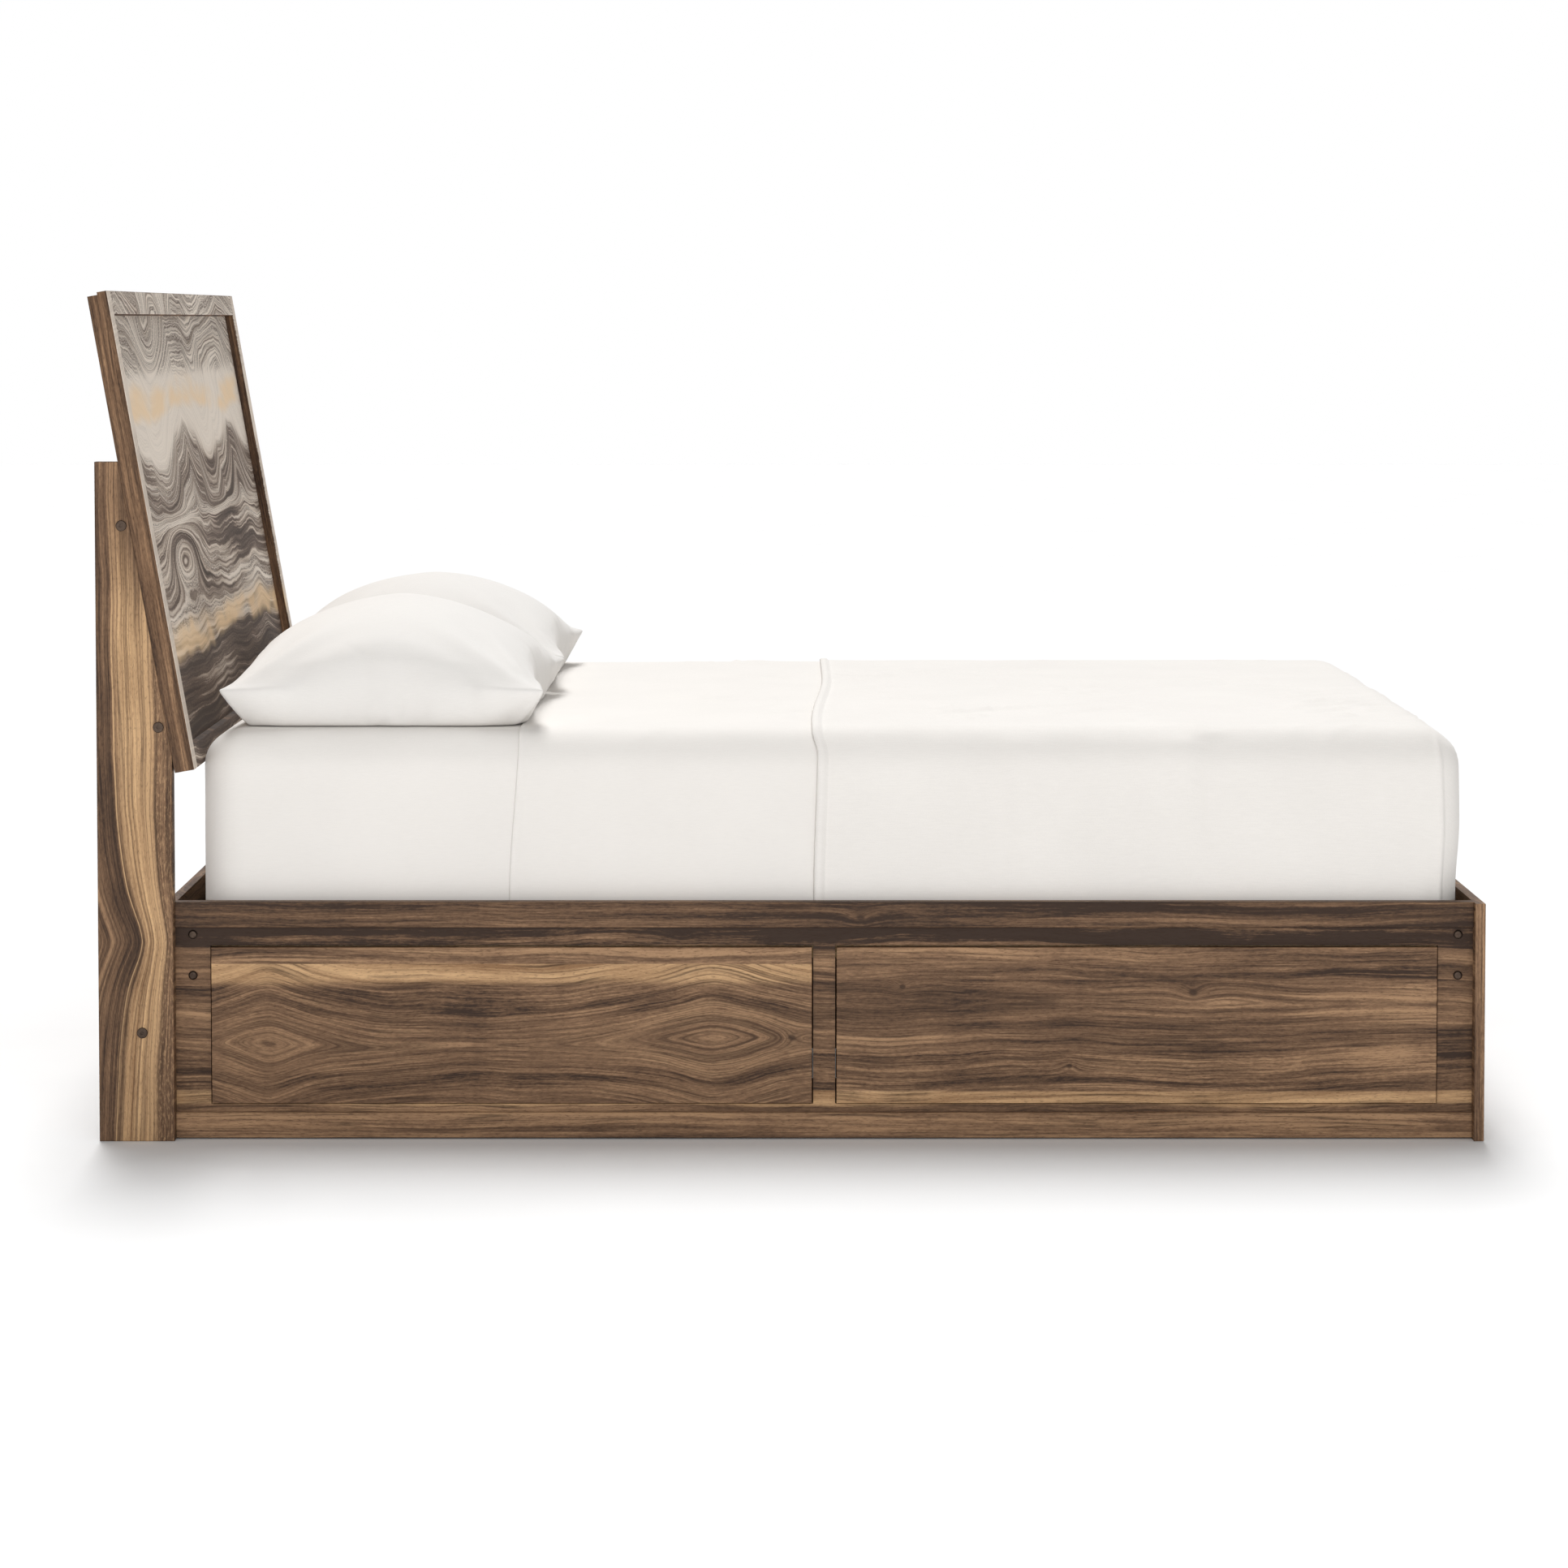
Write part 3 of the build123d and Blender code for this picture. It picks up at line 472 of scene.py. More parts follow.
for side, sign, extra in (("left", -1, 0.0), ("right", 1, 60.0)):
    for number, (end, pattern) in enumerate(FRONT_PRINTS.items()):
        laid = shifted(pattern, DEPTH_LEAN * sign * FRONT_X)
        dress(f"drawer_{side}_{end}_front",
              walnut(f"walnut_front_{side}_{end}", "y", "z", 3.0 + 11 * number + extra, **laid))
    dress(f"side_panel_{side}", walnut(f"walnut_panel_{side}", "y", "z", 21.0 + extra,
                                       **shifted(PANEL_PRINT_AND_SHADE, DEPTH_LEAN * sign * PANEL_X)))
    rise = DEPTH_LEAN * sign * BED_SIDE
    dress(f"top_strip_{side}",
          walnut(f"walnut_top_strip_{side}", "y", "z", 31.0 + extra, tone=-0.19, wander=0.03,
                 knots=[(0.107, 0.341 + rise, 0.010)]))
    dress(f"bottom_strip_{side}",
          walnut(f"walnut_bottom_strip_{side}", "y", "z", 37.0 + extra, tone=0.07, wander=0.02,
                 joints=[0.0176 + rise]))

dress("head_cross_rail", walnut("walnut_head_rail", "x", "z", 45.0, wander=0.05))
print("walnut: drawer fronts, panels, strips, head rail")

# %% [markdown]
# ### Legs
# A leg is one wide plank stood on end: pale sapwood runs up its middle, and near the foot of the
# leg a branch has pushed the rings in from the back edge, so that the grain bends round it.

# %% Walnut on the legs
BRANCH_HEIGHT = 0.300


def leg_walnut(name, seed):
    """A plank with sapwood in the middle and a branch at its back edge."""
    finish = Finish(name, roughness=0.5, Specular_IOR_Level=0.22)
    up = finish.z
    inward = HEAD_END - finish.y
    nudge = finish.noise(finish.vector(up * 2.2, inward * 4, seed)) - 0.5
    small = finish.noise(finish.vector(up * 9, inward * 14, seed + 2)) - 0.5
    bent = inward + nudge * 0.030 + small * 0.006
    rise = (up - BRANCH_HEIGHT).size()
    branch = 0.052 / (1 + (rise * 13) ** 1.6)
    reach = bent - branch * (1 - finish.step(bent, 0.05, 0.15))
    growth = finish.noise(finish.vector(reach * 135, up * 0.9, seed + 1), detail=4, roughness=0.65)
    broad = finish.noise(finish.vector(reach * 44, up * 0.8, seed + 3))
    figure = finish.noise(finish.vector(up * 7, inward * 9, seed + 4))
    fibre = finish.noise(finish.vector(reach * 360, up * 12, seed + 5), detail=3, roughness=0.65)
    speck = finish.noise(finish.vector(up * 95, bent * 330, seed + 9), roughness=0.7)
    thin = finish.noise(finish.vector(reach * 150, up * 1.1, seed + 6), detail=1)
    pores = finish.step(finish.noise(finish.vector(bent * 640, up * 130, seed + 7)), 0.56, 0.70)
    level = finish.sum((growth, 1.3), (broad, 1.2), (figure, 0.5), (fibre, 0.7), (speck, 0.42))
    brown = finish.ramp(level + 0.49, WALNUT_STOPS)
    pale = finish.ramp(level * 0.85 + 0.54,
                       [(0.0, MID_GROWTH), (0.25, SAP_SHADE), (0.80, SAP_LIGHT)])
    wave = slowly(finish, up * 0.5, seed) - 0.5
    low = 1 - finish.step(up, 0.72, 1.0)
    heartwood = finish.step(reach + wave * 0.02 + level * 0.004, 0.012, 0.038)
    right = 1 - finish.step(reach + wave * 0.03 + (1 - low) * 0.035 + level * 0.01, 0.052, 0.086)
    colour = finish.mix(heartwood * right * (0.14 + low * 0.78), brown, pale)
    rim = 1 - ((reach - 0.0185) * 700).size()
    colour = finish.mix(finish.step(rim, 0.0, 0.8) * low * 0.7, colour, SAP_LIGHT)
    stripe = finish.step(reach, 0.061, 0.0635) * (1 - finish.step(reach, 0.068, 0.084))
    colour = finish.mix(stripe * low * 0.55, colour, SAP_LIGHT)
    rough_side = finish.step(reach, 0.066, 0.076) * finish.step(speck, 0.50, 0.62)
    colour = finish.mix(rough_side * 0.20, colour, SAP_LIGHT)
    colour = finish.mix(thin.ridges(12) * 0.6, colour, LINE_BROWN)
    colour = finish.mix(pores * 0.35, colour, LINE_BROWN)
    finish.colour(colour)
    finish.rough(0.6 - growth * 0.1)
    finish.bump(growth * 0.5 - pores * 0.7, GRAIN_DEPTH, 0.5)
    return finish.material


for number, side in enumerate(("left", "right")):
    dress(f"leg_{side}", leg_walnut(f"walnut_leg_{side}", 2.0 + 17 * number))
print("walnut: legs")

# %% [markdown]
# ### Headboard
# Two prints meet here.  The front of the frame and of its panel has a pale, agate-like print: bands
# that hang like curtains between sharp peaks, golden clouds, and closed eyes where the bands curl.
# The sides of the frame are brown walnut with the grain along the slope.  The way a face points
# tells the shader which of the two it takes.

# %% Headboard print
PALE = paint(228, 214, 199)
PALE_SHADE = paint(194, 177, 161)
TAUPE = paint(108, 91, 80)
DEEP_TAUPE = paint(72, 60, 52)
GOLD = paint(250, 216, 170)
CREAM = paint(245, 233, 219)
PRINT_FOOT, PRINT_TOP = 0.60, 1.30     # heights between which the greys of the print are laid out
# Up to about 0.70 m the greys are darkest: partly print, partly painted shade above the bedding.
PRINT_AND_SHADE_GREYS = [(0.00, 0.20), (0.15, 0.27), (0.22, 0.60), (0.32, 0.56), (0.38, 0.40), (0.44, 0.42),
               (0.475, 0.92), (0.53, 0.44), (0.64, 0.46), (0.70, 0.90), (0.82, 0.92), (1.0, 0.86)]
HAZE_FOOT, HAZE_TOP = (1.052, 1.075), (1.130, 1.160)      # a calm pale zone, with soft edges
GOLDEN_BANDS = [((1.072, 1.094), (1.112, 1.140), (0.40, 0.60), 0.80),     # foot, top, cloud and
                ((0.700, 0.720), (0.736, 0.760), (0.28, 0.50), 0.85)]     # strength of each
TOP_ARCH = (0.34, 1.16)                # places on the print, across and up
UPPER_EYE = (-0.29, 1.215)
LOWER_EYE = (-0.36, 0.862)
STILE_RIM = 0.700                      # outside this the stile's edge is plain and pale


def bulge(x, z, place, half_width, half_height):
    """A soft hill over a place, 1 at its top."""
    across = (x - place[0]) * (1 / half_width)
    up = (z - place[1]) * (1 / half_height)
    return 1 / (1 + (across * across + up * up) ** 1.5)


def agate_colour(finish, seed, paler=0.0):
    """The pale print, laid out in the width and height of the headboard, with painted shade low
    down.
    """
    x, z = finish.x, finish.z
    sway = finish.noise(finish.vector(x * 2.4, z * 3.2, seed)) - 0.5
    shake = finish.noise(finish.vector(x * 11, z * 14, seed + 1)) - 0.5
    wide = x + sway * 0.15 + shake * 0.02
    upper = finish.step(z, 0.895, 0.93)
    curtain = ((wide + 0.10) * 5.42).sine().size()
    tight = ((wide - 0.03) * 12.5).sine().size()
    calm = 1 - finish.step(z, 0.98, 1.22) * 0.55
    hang = (curtain * (0.095 * upper + 0.014) + tight * (0.006 + 0.018 * upper)) * calm
    top_arch = bulge(x, z, TOP_ARCH, 0.15, 0.05) * -0.06
    eyes = (bulge(wide, z, UPPER_EYE, 0.11, 0.055) * 0.15
            + bulge(wide, z, LOWER_EYE, 0.12, 0.045) * -0.13)
    quiet = finish.step(z, 0.70, 0.95) * 0.7 + 0.3
    rise = z + hang + top_arch + eyes + shake * quiet * 0.022 + sway * 0.05
    band = finish.noise(finish.vector(rise * 62, wide * 1.6, seed + 2), detail=3, roughness=0.6)
    fine = finish.noise(finish.vector(rise * 165, wide * 2.2, seed + 3), roughness=0.55)
    coarse = finish.noise(finish.vector(rise * 22, wide * 1.5, seed + 4), detail=1)
    grit = finish.noise(finish.vector(x * 90, z * 420, seed + 5))
    level = finish.sum((band, 1.0), (fine, 0.8), (coarse, 0.7), (grit, 0.25))
    height = z + hang * 0.5 + sway * 0.05
    place = finish.node("ShaderNodeMapRange", {},
                        {"Value": height, "From Min": PRINT_FOOT, "From Max": PRINT_TOP})
    # Greys by height; the darkest, at the foot, are partly painted shade above the bedding.
    greys_with_foot_shade = finish.ramp(place, [(share, grey(value)) for share, value in PRINT_AND_SHADE_GREYS])
    light = finish.node("ShaderNodeSeparateColor", inputs={0: greys_with_foot_shade})
    haze = finish.step(height, *HAZE_FOOT) * (1 - finish.step(z + shake * 0.02, *HAZE_TOP))
    value = level * (1.55 - haze * 0.85) + light * 1.05 + haze * 0.06 + (paler + 0.06)
    colour = finish.ramp(value, [(0.12, DEEP_TAUPE), (0.36, TAUPE), (0.56, PALE_SHADE),
                                 (0.72, PALE), (0.95, CREAM)])
    thin = finish.noise(finish.vector(rise * 105, wide * 1.4, seed + 7), detail=1)
    contour = thin.ridges(8) * (1 - haze * 0.85)
    colour = finish.mix(contour * finish.step(grit, 0.3, 0.55) * 0.95, colour, TAUPE)
    close = finish.noise(finish.vector(rise * 190, wide * 1.8, seed + 8), detail=1)
    second = close.ridges(10) * (upper - haze * 0.9)
    colour = finish.mix(second * 0.75, colour, TAUPE)
    cloud = finish.noise(finish.vector(x * 4.5, z * 9, seed + 6))
    level_line = z + sway * 0.08 + shake * 0.02
    gilt = 0.0
    for foot, top, clouded, strength in GOLDEN_BANDS:
        inside = finish.step(level_line, *foot) * (1 - finish.step(level_line, *top))
        gilt = gilt + inside * finish.step(cloud, *clouded) * strength
    colour = finish.mix(gilt * 0.9, colour, GOLD)
    rim = finish.step(x.size(), STILE_RIM, STILE_RIM + 0.004)
    return finish.mix(rim * 0.8, colour, PALE), level


def headboard_finish(name, seed, paler=0.0, side_tone=-0.16):
    """Agate print on the faces that look to the foot, brown walnut on the others."""
    finish = Finish(name, roughness=0.55, Specular_IOR_Level=0.22)
    slope = finish.z * math.cos(LEAN) + finish.y * math.sin(LEAN)
    out = finish.z * math.sin(LEAN) - finish.y * math.cos(LEAN) + finish.x * 0.35
    brown, brown_height = walnut_colour(finish, slope, out, seed + 20, wander=0.02, tone=side_tone)
    pale, level = agate_colour(finish, seed, paler)
    facing = finish.node("ShaderNodeTexCoord", output="Normal")
    towards = finish.node("ShaderNodeSeparateXYZ", inputs={0: facing}, output=1)
    front = finish.step(towards, -0.5, -0.7)
    finish.colour(finish.mix(front, brown, pale))
    finish.rough(0.62 - level * 0.1)
    finish.bump(level * front * 0.4 + brown_height * (1 - front), GRAIN_DEPTH, 0.5)
    return finish.material


agate = headboard_finish("agate_print", 5.0, side_tone=-0.03)
for node in ("headboard_stile_left", "headboard_stile_right"):
    dress(node, agate)
# The bottom rail's walnut edges are painted far darker: painted shade over its lit top face.
dress("headboard_bottom_rail", headboard_finish("agate_bottom_rail_painted_shade", 5.0, side_tone=-0.36))
dress("headboard_back_panel", headboard_finish("agate_panel", 5.0, side_tone=-0.16))
dress("headboard_top_rail", headboard_finish("agate_top_rail", 11.0, paler=0.02))
dress("headboard_cleats", walnut("walnut_cleats", "z", "y", 51.0))
print("headboard: agate print and walnut edges")

# %% [markdown]
# ### Footboard
# The footboard's faces are walnut with the grain across the bed, and its narrow ends are banded
# with a strip whose grain runs up.  The normal of a face chooses between the two again.

# %% Walnut on the footboard
def footboard_finish():
    finish = Finish("walnut_footboard", roughness=0.5, Specular_IOR_Level=0.22)
    facing = finish.node("ShaderNodeTexCoord", output="Normal")
    sideways = finish.node("ShaderNodeSeparateXYZ", inputs={0: facing}).size()
    face, face_height = walnut_colour(finish, finish.x, finish.z + finish.y * 0.3, 57.0,
                                      wander=0.06, hearts=[(0.17, 0.04, [(0.28, 0.12)])],
                                      joints=[0.24])
    strip, strip_height = walnut_colour(finish, finish.z, finish.y, 63.0, wander=0.01, tone=0.04)
    ends = finish.step(sideways, 0.6, 0.8)
    finish.colour(finish.mix(ends, face, strip))
    finish.bump(face_height * (1 - ends) + strip_height * ends, GRAIN_DEPTH, 0.5)
    return finish.material


dress("footboard", footboard_finish())
print("footboard: walnut")

# %% [markdown]
# ## Inside the base
# What the drawers show when they open is plain: boxes of pale board with a printed linen face,
# planed pine slats, zinc-plated slides, brackets and screws, and felt glides under the edges.

# %% Board, pine, metal and felt
def board_finish():
    """Pale board with a printed linen weave."""
    finish = Finish("linen_board", roughness=0.7)
    x, y, z = finish.x, finish.y, finish.z
    warp = finish.noise(finish.vector(x * 900, y * 60, z * 60), detail=1)
    weft = finish.noise(finish.vector(x * 60, y * 900, z * 900), detail=1)
    cloud = finish.noise(finish.place, detail=3)
    level = warp * 0.4 + weft * 0.4 + cloud * 0.2
    finish.colour(finish.ramp(level, [(0.3, paint(168, 148, 122)), (0.7, paint(205, 188, 163))]))
    finish.bump(level, 0.0003, 0.4)
    return finish.material


def pine_finish():
    """Planed pine: soft yellow growth lines along each slat."""
    finish = Finish("planed_pine", roughness=0.62)
    number = (finish.y * 9).floor()
    slow = finish.noise(finish.vector(finish.x * 2.2, finish.y * 6, number))
    lines = finish.noise(finish.vector(finish.x * 1.2, (finish.y + slow * 0.02) * 130,
                                       finish.z * 90 + number * 3.7), detail=3)
    finish.colour(finish.ramp(lines, [(0.3, paint(176, 134, 84)), (0.5, paint(214, 179, 127)),
                                      (0.7, paint(232, 204, 158))]))
    finish.rough(0.7 - lines * 0.15)
    finish.bump(lines, 0.0003, 0.5)
    return finish.material


def metal_finish(name, dark, light, roughness):
    """Metal with a mottled surface that scatters its gloss."""
    finish = Finish(name, roughness=roughness, Metallic=1.0)
    x, y, z = finish.x, finish.y, finish.z
    fine = finish.noise(finish.vector(x * 300, y * 300, z * 300), detail=3)
    cloud = finish.noise(finish.vector(x * 30, y * 30, z * 30))
    finish.colour(finish.ramp(fine * 0.5 + cloud * 0.5, [(0.3, dark), (0.7, light)]))
    finish.rough(roughness + (fine - 0.5) * 0.25 + (cloud - 0.5) * 0.2)
    finish.bump(fine, 0.00008, 0.4)
    return finish.material


def felt_finish():
    finish = Finish("pressed_felt", roughness=0.95, Sheen_Weight=0.3)
    fibres = finish.noise(finish.vector(finish.x * 1400, finish.y * 500, finish.z * 900), detail=3)
    finish.colour(finish.ramp(fibres, [(0.3, paint(70, 66, 62)), (0.7, paint(112, 107, 101))]))
    finish.bump(fibres, 0.0006, 0.7)
    return finish.material


linen_board = board_finish()
pine = pine_finish()
bronze = metal_finish("bronzed_steel", paint(58, 48, 42), paint(96, 82, 72), 0.5)
zinc = metal_finish("zinc_plate", paint(150, 152, 152), paint(196, 198, 198), 0.38)
felt = felt_finish()
for node in ("leg_bolts", "rail_bolts"):
    dress(node, bronze)
for node in ("corner_brackets", "bracket_screws", "slat_screws", "rail_nuts", "barrel_nuts",
             "slide_fixed_members"):
    dress(node, zinc)
for node in ("centre_spine", "partitions"):
    dress(node, linen_board)
for node in ("slats", "slat_ledgers"):
    dress(node, pine)
dress("floor_glides", felt)
for side in ("left", "right"):
    for end in ("head", "foot"):
        for part in ("box_sides", "box_ends", "floor"):
            dress(f"drawer_{side}_{end}_{part}", linen_board)
        for part in ("slide_inner", "slide_middle"):
            dress(f"drawer_{side}_{end}_{part}", zinc)
print("inside: board, pine, bronze, zinc, felt")

# %% [markdown]
# ## Cloth finishes
# The bed linen is white plain-weave cotton.  From where people stand the threads are too fine to
# see, so the weave is a faint bump, with slightly thicker threads here and there both ways.

# %% Cotton and ticking
def cotton(name, light, shade, coarse=1.0):
    """White plain weave; coarse above 1 gives thicker threads."""
    finish = Finish(name, roughness=0.88, Sheen_Weight=0.15, Sheen_Roughness=0.5,
                    Specular_IOR_Level=0.25)
    x, y, z = finish.x, finish.y, finish.z
    size = 1 / coarse
    warp = finish.noise(finish.vector((x + z) * (900 * size), y * (70 * size), z * 90), detail=1)
    weft = finish.noise(finish.vector(x * (70 * size), y * (900 * size), z * (900 * size)),
                        detail=1)
    cloud = finish.noise(finish.vector(x * 6, y * 6, z * 6), detail=3)
    threads = warp * 0.5 + weft * 0.5
    finish.colour(finish.ramp(threads * 0.6 + cloud * 0.4, [(0.35, shade), (0.65, light)]))
    finish.bump(threads, 0.00035 * coarse, 0.35)
    return finish.material


STRIPES_PER_METRE = 24


def ticking_finish():
    """Mattress ticking: cream cloth woven with narrow pairs of grey stripes."""
    finish = Finish("striped_ticking", roughness=0.85, Sheen_Weight=0.15)
    off_middle = ((finish.x * STRIPES_PER_METRE).fraction() - 0.5).size()
    stripe = finish.step(off_middle, 0.10, 0.13) * (1 - finish.step(off_middle, 0.16, 0.19))
    warp = finish.noise(finish.vector(finish.x * 700, finish.y * 60, finish.z * 60), detail=1)
    weft = finish.noise(finish.vector(finish.x * 60, finish.y * 700, finish.z * 700), detail=1)
    cloth = finish.ramp(warp * 0.5 + weft * 0.5, [(0.35, paint(214, 208, 198)),
                                                  (0.65, paint(238, 234, 226))])
    finish.colour(finish.mix(stripe * 0.6, cloth, paint(128, 136, 148)))
    finish.bump(warp * 0.5 + weft * 0.5, 0.0004, 0.4)
    return finish.material


sheet_cloth = cotton("white_percale", paint(240, 236, 231), paint(235, 231, 226))
coverlet_cloth = cotton("white_coverlet", paint(240, 236, 231), paint(234, 230, 225), coarse=1.5)
pillow_cloth = cotton("white_pillowcase", paint(238, 235, 231), paint(233, 230, 226))
ticking = ticking_finish()
print("cloth: percale, coverlet, pillowcase, ticking")

# %% [markdown]
# ## Mattress and bed linen
# A mattress is a box with round corners, and the linen follows it in thin layers.  One box is cut
# into a fine grid, and `round_block` moves its points onto a rounded block that is larger by a
# given offset, so every layer lies the same distance outside the one below.  Cutting planes then
# trim the layer where it starts and where it is tucked in, soft folds are pushed in along the
# normals, and a Solidify modifier gives the cloth its thickness.

# %% The block that the linen follows
CORNER = 0.060             # upright corners of the mattress
TOP_EDGE = 0.055
BOTTOM_EDGE = 0.030
GRID_STEP = 0.011
SHEET_START = 0.626        # stations where the folded layers begin
COVERLET_START = 1.075
BED_FOOT = HEAD_END - BED_LOW.y        # station of the mattress's foot end


def square_to_round(first, second):
    """Bend a square corner, whose arms are first and second, into a round one."""
    if first <= 0 or second <= 0:
        return first, second
    reach = math.hypot(first, second)
    scale = max(first, second) / reach
    return first * scale, second * scale


def round_block(point, grow):
    """Where a point of the mattress's box lies on the rounded block."""
    low, high = BED_LOW, BED_HIGH
    corner, top_edge = CORNER + grow, TOP_EDGE + grow
    half_x = (high.x - low.x) / 2 + grow
    half_y = (high.y - low.y) / 2 + grow
    middle_y = (high.y + low.y) / 2
    share_x = (point.x / ((high.x - low.x) / 2)) * half_x
    share_y = ((point.y - middle_y) / ((high.y - low.y) / 2)) * half_y
    share_z = point.z + grow * (point.z - low.z) / (high.z - low.z)
    over_x = max(abs(share_x) - (half_x - corner), 0)
    over_y = max(abs(share_y) - (half_y - corner), 0)
    base_x = math.copysign(abs(share_x) - over_x, share_x)
    base_y = math.copysign(abs(share_y) - over_y, share_y)
    out = max(over_x, over_y)
    turn_x, turn_y = square_to_round(over_x, over_y)
    length = math.hypot(turn_x, turn_y)
    if length > 0:
        turn_x, turn_y = turn_x / length, turn_y / length
    top = high.z + grow
    arm, up = square_to_round(out - (corner - top_edge), share_z - (top - top_edge))
    if up > 0:
        out, share_z = arm + (corner - top_edge), up + (top - top_edge)
    arm, down = square_to_round(out - (corner - BOTTOM_EDGE), low.z + BOTTOM_EDGE - share_z)
    if down > 0:
        out, share_z = arm + (corner - BOTTOM_EDGE), low.z + BOTTOM_EDGE - down
    return Vector((base_x + math.copysign(turn_x * out, share_x),
                   middle_y + base_y + math.copysign(turn_y * out, share_y), share_z))


def gridded_box(extra_cuts=()):
    """A box of the mattress's size, cut into small squares."""
    mesh = bmesh.new()
    bmesh.ops.create_cube(mesh, size=1.0)
    size = BED_HIGH - BED_LOW
    middle = (BED_HIGH + BED_LOW) / 2
    bmesh.ops.scale(mesh, vec=size, verts=mesh.verts)
    bmesh.ops.translate(mesh, vec=middle, verts=mesh.verts)
    for axis in range(3):
        along = [edge for edge in mesh.edges
                 if abs((edge.verts[0].co - edge.verts[1].co)[axis]) > GRID_STEP]
        bmesh.ops.subdivide_edges(mesh, edges=along, cuts=round(size[axis] / GRID_STEP),
                                  use_grid_fill=True)
    for place in extra_cuts:
        everything = mesh.verts[:] + mesh.edges[:] + mesh.faces[:]
        bmesh.ops.bisect_plane(mesh, geom=everything, plane_co=(0, place, 0), plane_no=(0, 1, 0))
    return mesh


def finish_piece(name, mesh, material):
    """Turn a bmesh into an object of the scene."""
    bmesh.ops.recalc_face_normals(mesh, faces=mesh.faces)
    data = bpy.data.meshes.new(name)
    for face in mesh.faces:
        face.smooth = True
    mesh.to_mesh(data)
    mesh.free()
    data.materials.append(material)
    made = bpy.data.objects.new(name, data)
    scene.collection.objects.link(made)
    return made


def ease(value, low, high):
    """0 below low and 1 above high, smooth between."""
    share = min(max((value - low) / (high - low), 0), 1)
    return share * share * (3 - 2 * share)


print("mattress block:", [round(value, 3) for value in BED_HIGH - BED_LOW])

# %% [markdown]
# ### Soft folds
# Every layer shares one set of soft waves, so the layers never pass through each other: a slight
# hollow where the pillows rest, slanting puckers beyond them where the linen was pulled straight,
# and creases and shallow waves down the side walls.  A layer may add its own swelling on top, but
# never a hollow.

# %% Waves shared by the linen
RAIL_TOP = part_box("top_strip_left")[1].z
PILLOW_HOLLOW = 0.0012
PUCKER_HEIGHT = 0.013


def soft_waves(place):
    """How far the linen stands out at a place, in metres."""
    station = HEAD_END - place.y
    above_rail = ease(place.z, RAIL_TOP + 0.004, RAIL_TOP + 0.07)
    on_top = ease(place.z, BED_HIGH.z - 0.03, BED_HIGH.z - 0.004)
    past_pillow = ease(station, 0.66, 0.80)
    drift = noise.noise(Vector((place.x * 2.2, place.y * 2.6, place.z * 2.2)))
    pull = noise.noise(Vector((place.x * 3.0 + place.y * 5.5, place.y * 2.0 - place.x * 2.0, 7.3)))
    drop = noise.noise(Vector((place.y * 8.5, place.z * 1.2, 2.1)))
    crease = noise.noise(Vector((place.y * 15 + place.z * 9, place.z * 2.5 - place.y * 1.5, 4.4)))
    top_wave = drift * 0.0022 + pull * 0.0018
    side_wave = drift * 0.0016 + drop * 0.0016 + crease * 0.0009
    slant = Vector((place.y * 11 - abs(place.x) * 14, (abs(place.x) + place.y) * -5, 1.7))
    ridge = noise.noise(slant)
    patch = noise.noise(Vector((place.y * 5.2, place.x * 4.0, 5.2)))
    pucker = max(1 - abs(ridge) * 5, 0) ** 1.5 * max(patch + 0.02, 0) * PUCKER_HEIGHT
    top_wave = (top_wave + pucker) * past_pillow - PILLOW_HOLLOW * (1 - past_pillow)
    return (top_wave * on_top + side_wave * (1 - on_top)) * above_rail


print("waves at the middle:", round(soft_waves(Vector((0, 0, BED_HIGH.z))), 5))

# %% [markdown]
# ### One layer of linen
# The layer's edge across the bed leans a little down the sides and wanders, as cloth laid by hand
# does.  A doubled hem thickens the first centimetre behind that edge.

# %% Linen layer
LAYER_AIR = 0.0003
SHEET_THICK = 0.0012
COVERLET_THICK = 0.0024
TUCK = BED_LOW.z + 0.034
HEM_CUTS = (0.0, 0.002, 0.006, 0.010, 0.0135, 0.018, 0.026)      # behind the folded edge
EDGE_SWAY, EDGE_SHIFT = 0.023, 0.014


def linen(name, node, material, grow, thickness, start=None, hem=0.0, lean=0.0, wander=1.0,
          swell=None, cuts=()):
    """A layer that lies `grow` outside the mattress; start is the station of its folded edge."""
    cuts = list(cuts)
    if start is not None:
        cuts += [along_bed(start) - step for step in HEM_CUTS]
    mesh = gridded_box(cuts)
    trims = [((0, 0, TUCK), (0, 0, -1))]
    if start is not None:
        trims.append(((0, along_bed(start), 0), (0, 1, 0)))
    for place, facing in trims:
        everything = mesh.verts[:] + mesh.edges[:] + mesh.faces[:]
        bmesh.ops.bisect_plane(mesh, geom=everything, plane_co=place, plane_no=facing,
                               clear_outer=True)
    targets = []
    for vert in mesh.verts:
        before = vert.co.copy()
        place = round_block(before, grow)
        nearby = round_block(before, grow + 0.01)
        outward = nearby - place
        outward.normalize()
        extra = soft_waves(place)
        if start is not None:
            behind = along_bed(start) - before.y
            roll = ease(behind, -0.001, 0.002) * (1 - ease(behind, 0.0095, 0.0140))
            extra += roll * hem
            near = 1 - ease(behind, 0.05, 0.40)
            fall = (BED_HIGH.z - place.z) / 0.25
            turn = ease(-place.x, -0.25, 0.60)
            sway = (turn * EDGE_SWAY - EDGE_SHIFT) * (1 - ease(fall, 0.0, 0.14)) * wander
            place.y += near * (sway + lean * ease(fall, 0.0, 1.0))
        if swell is not None:
            extra += swell(place)
        targets.append(place + outward * extra)
    for vert, target in zip(mesh.verts, targets):
        vert.co = target
    made = finish_piece(name, mesh, material)
    thick = made.modifiers.new("thickness", "SOLIDIFY")
    thick.thickness = thickness
    thick.offset = 1.0
    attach(made, "bedding")
    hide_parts(node)
    print(name, len(made.data.polygons), "faces")
    return made


fitted = linen("fitted_sheet_cloth", "fitted_sheet", sheet_cloth, LAYER_AIR, SHEET_THICK)

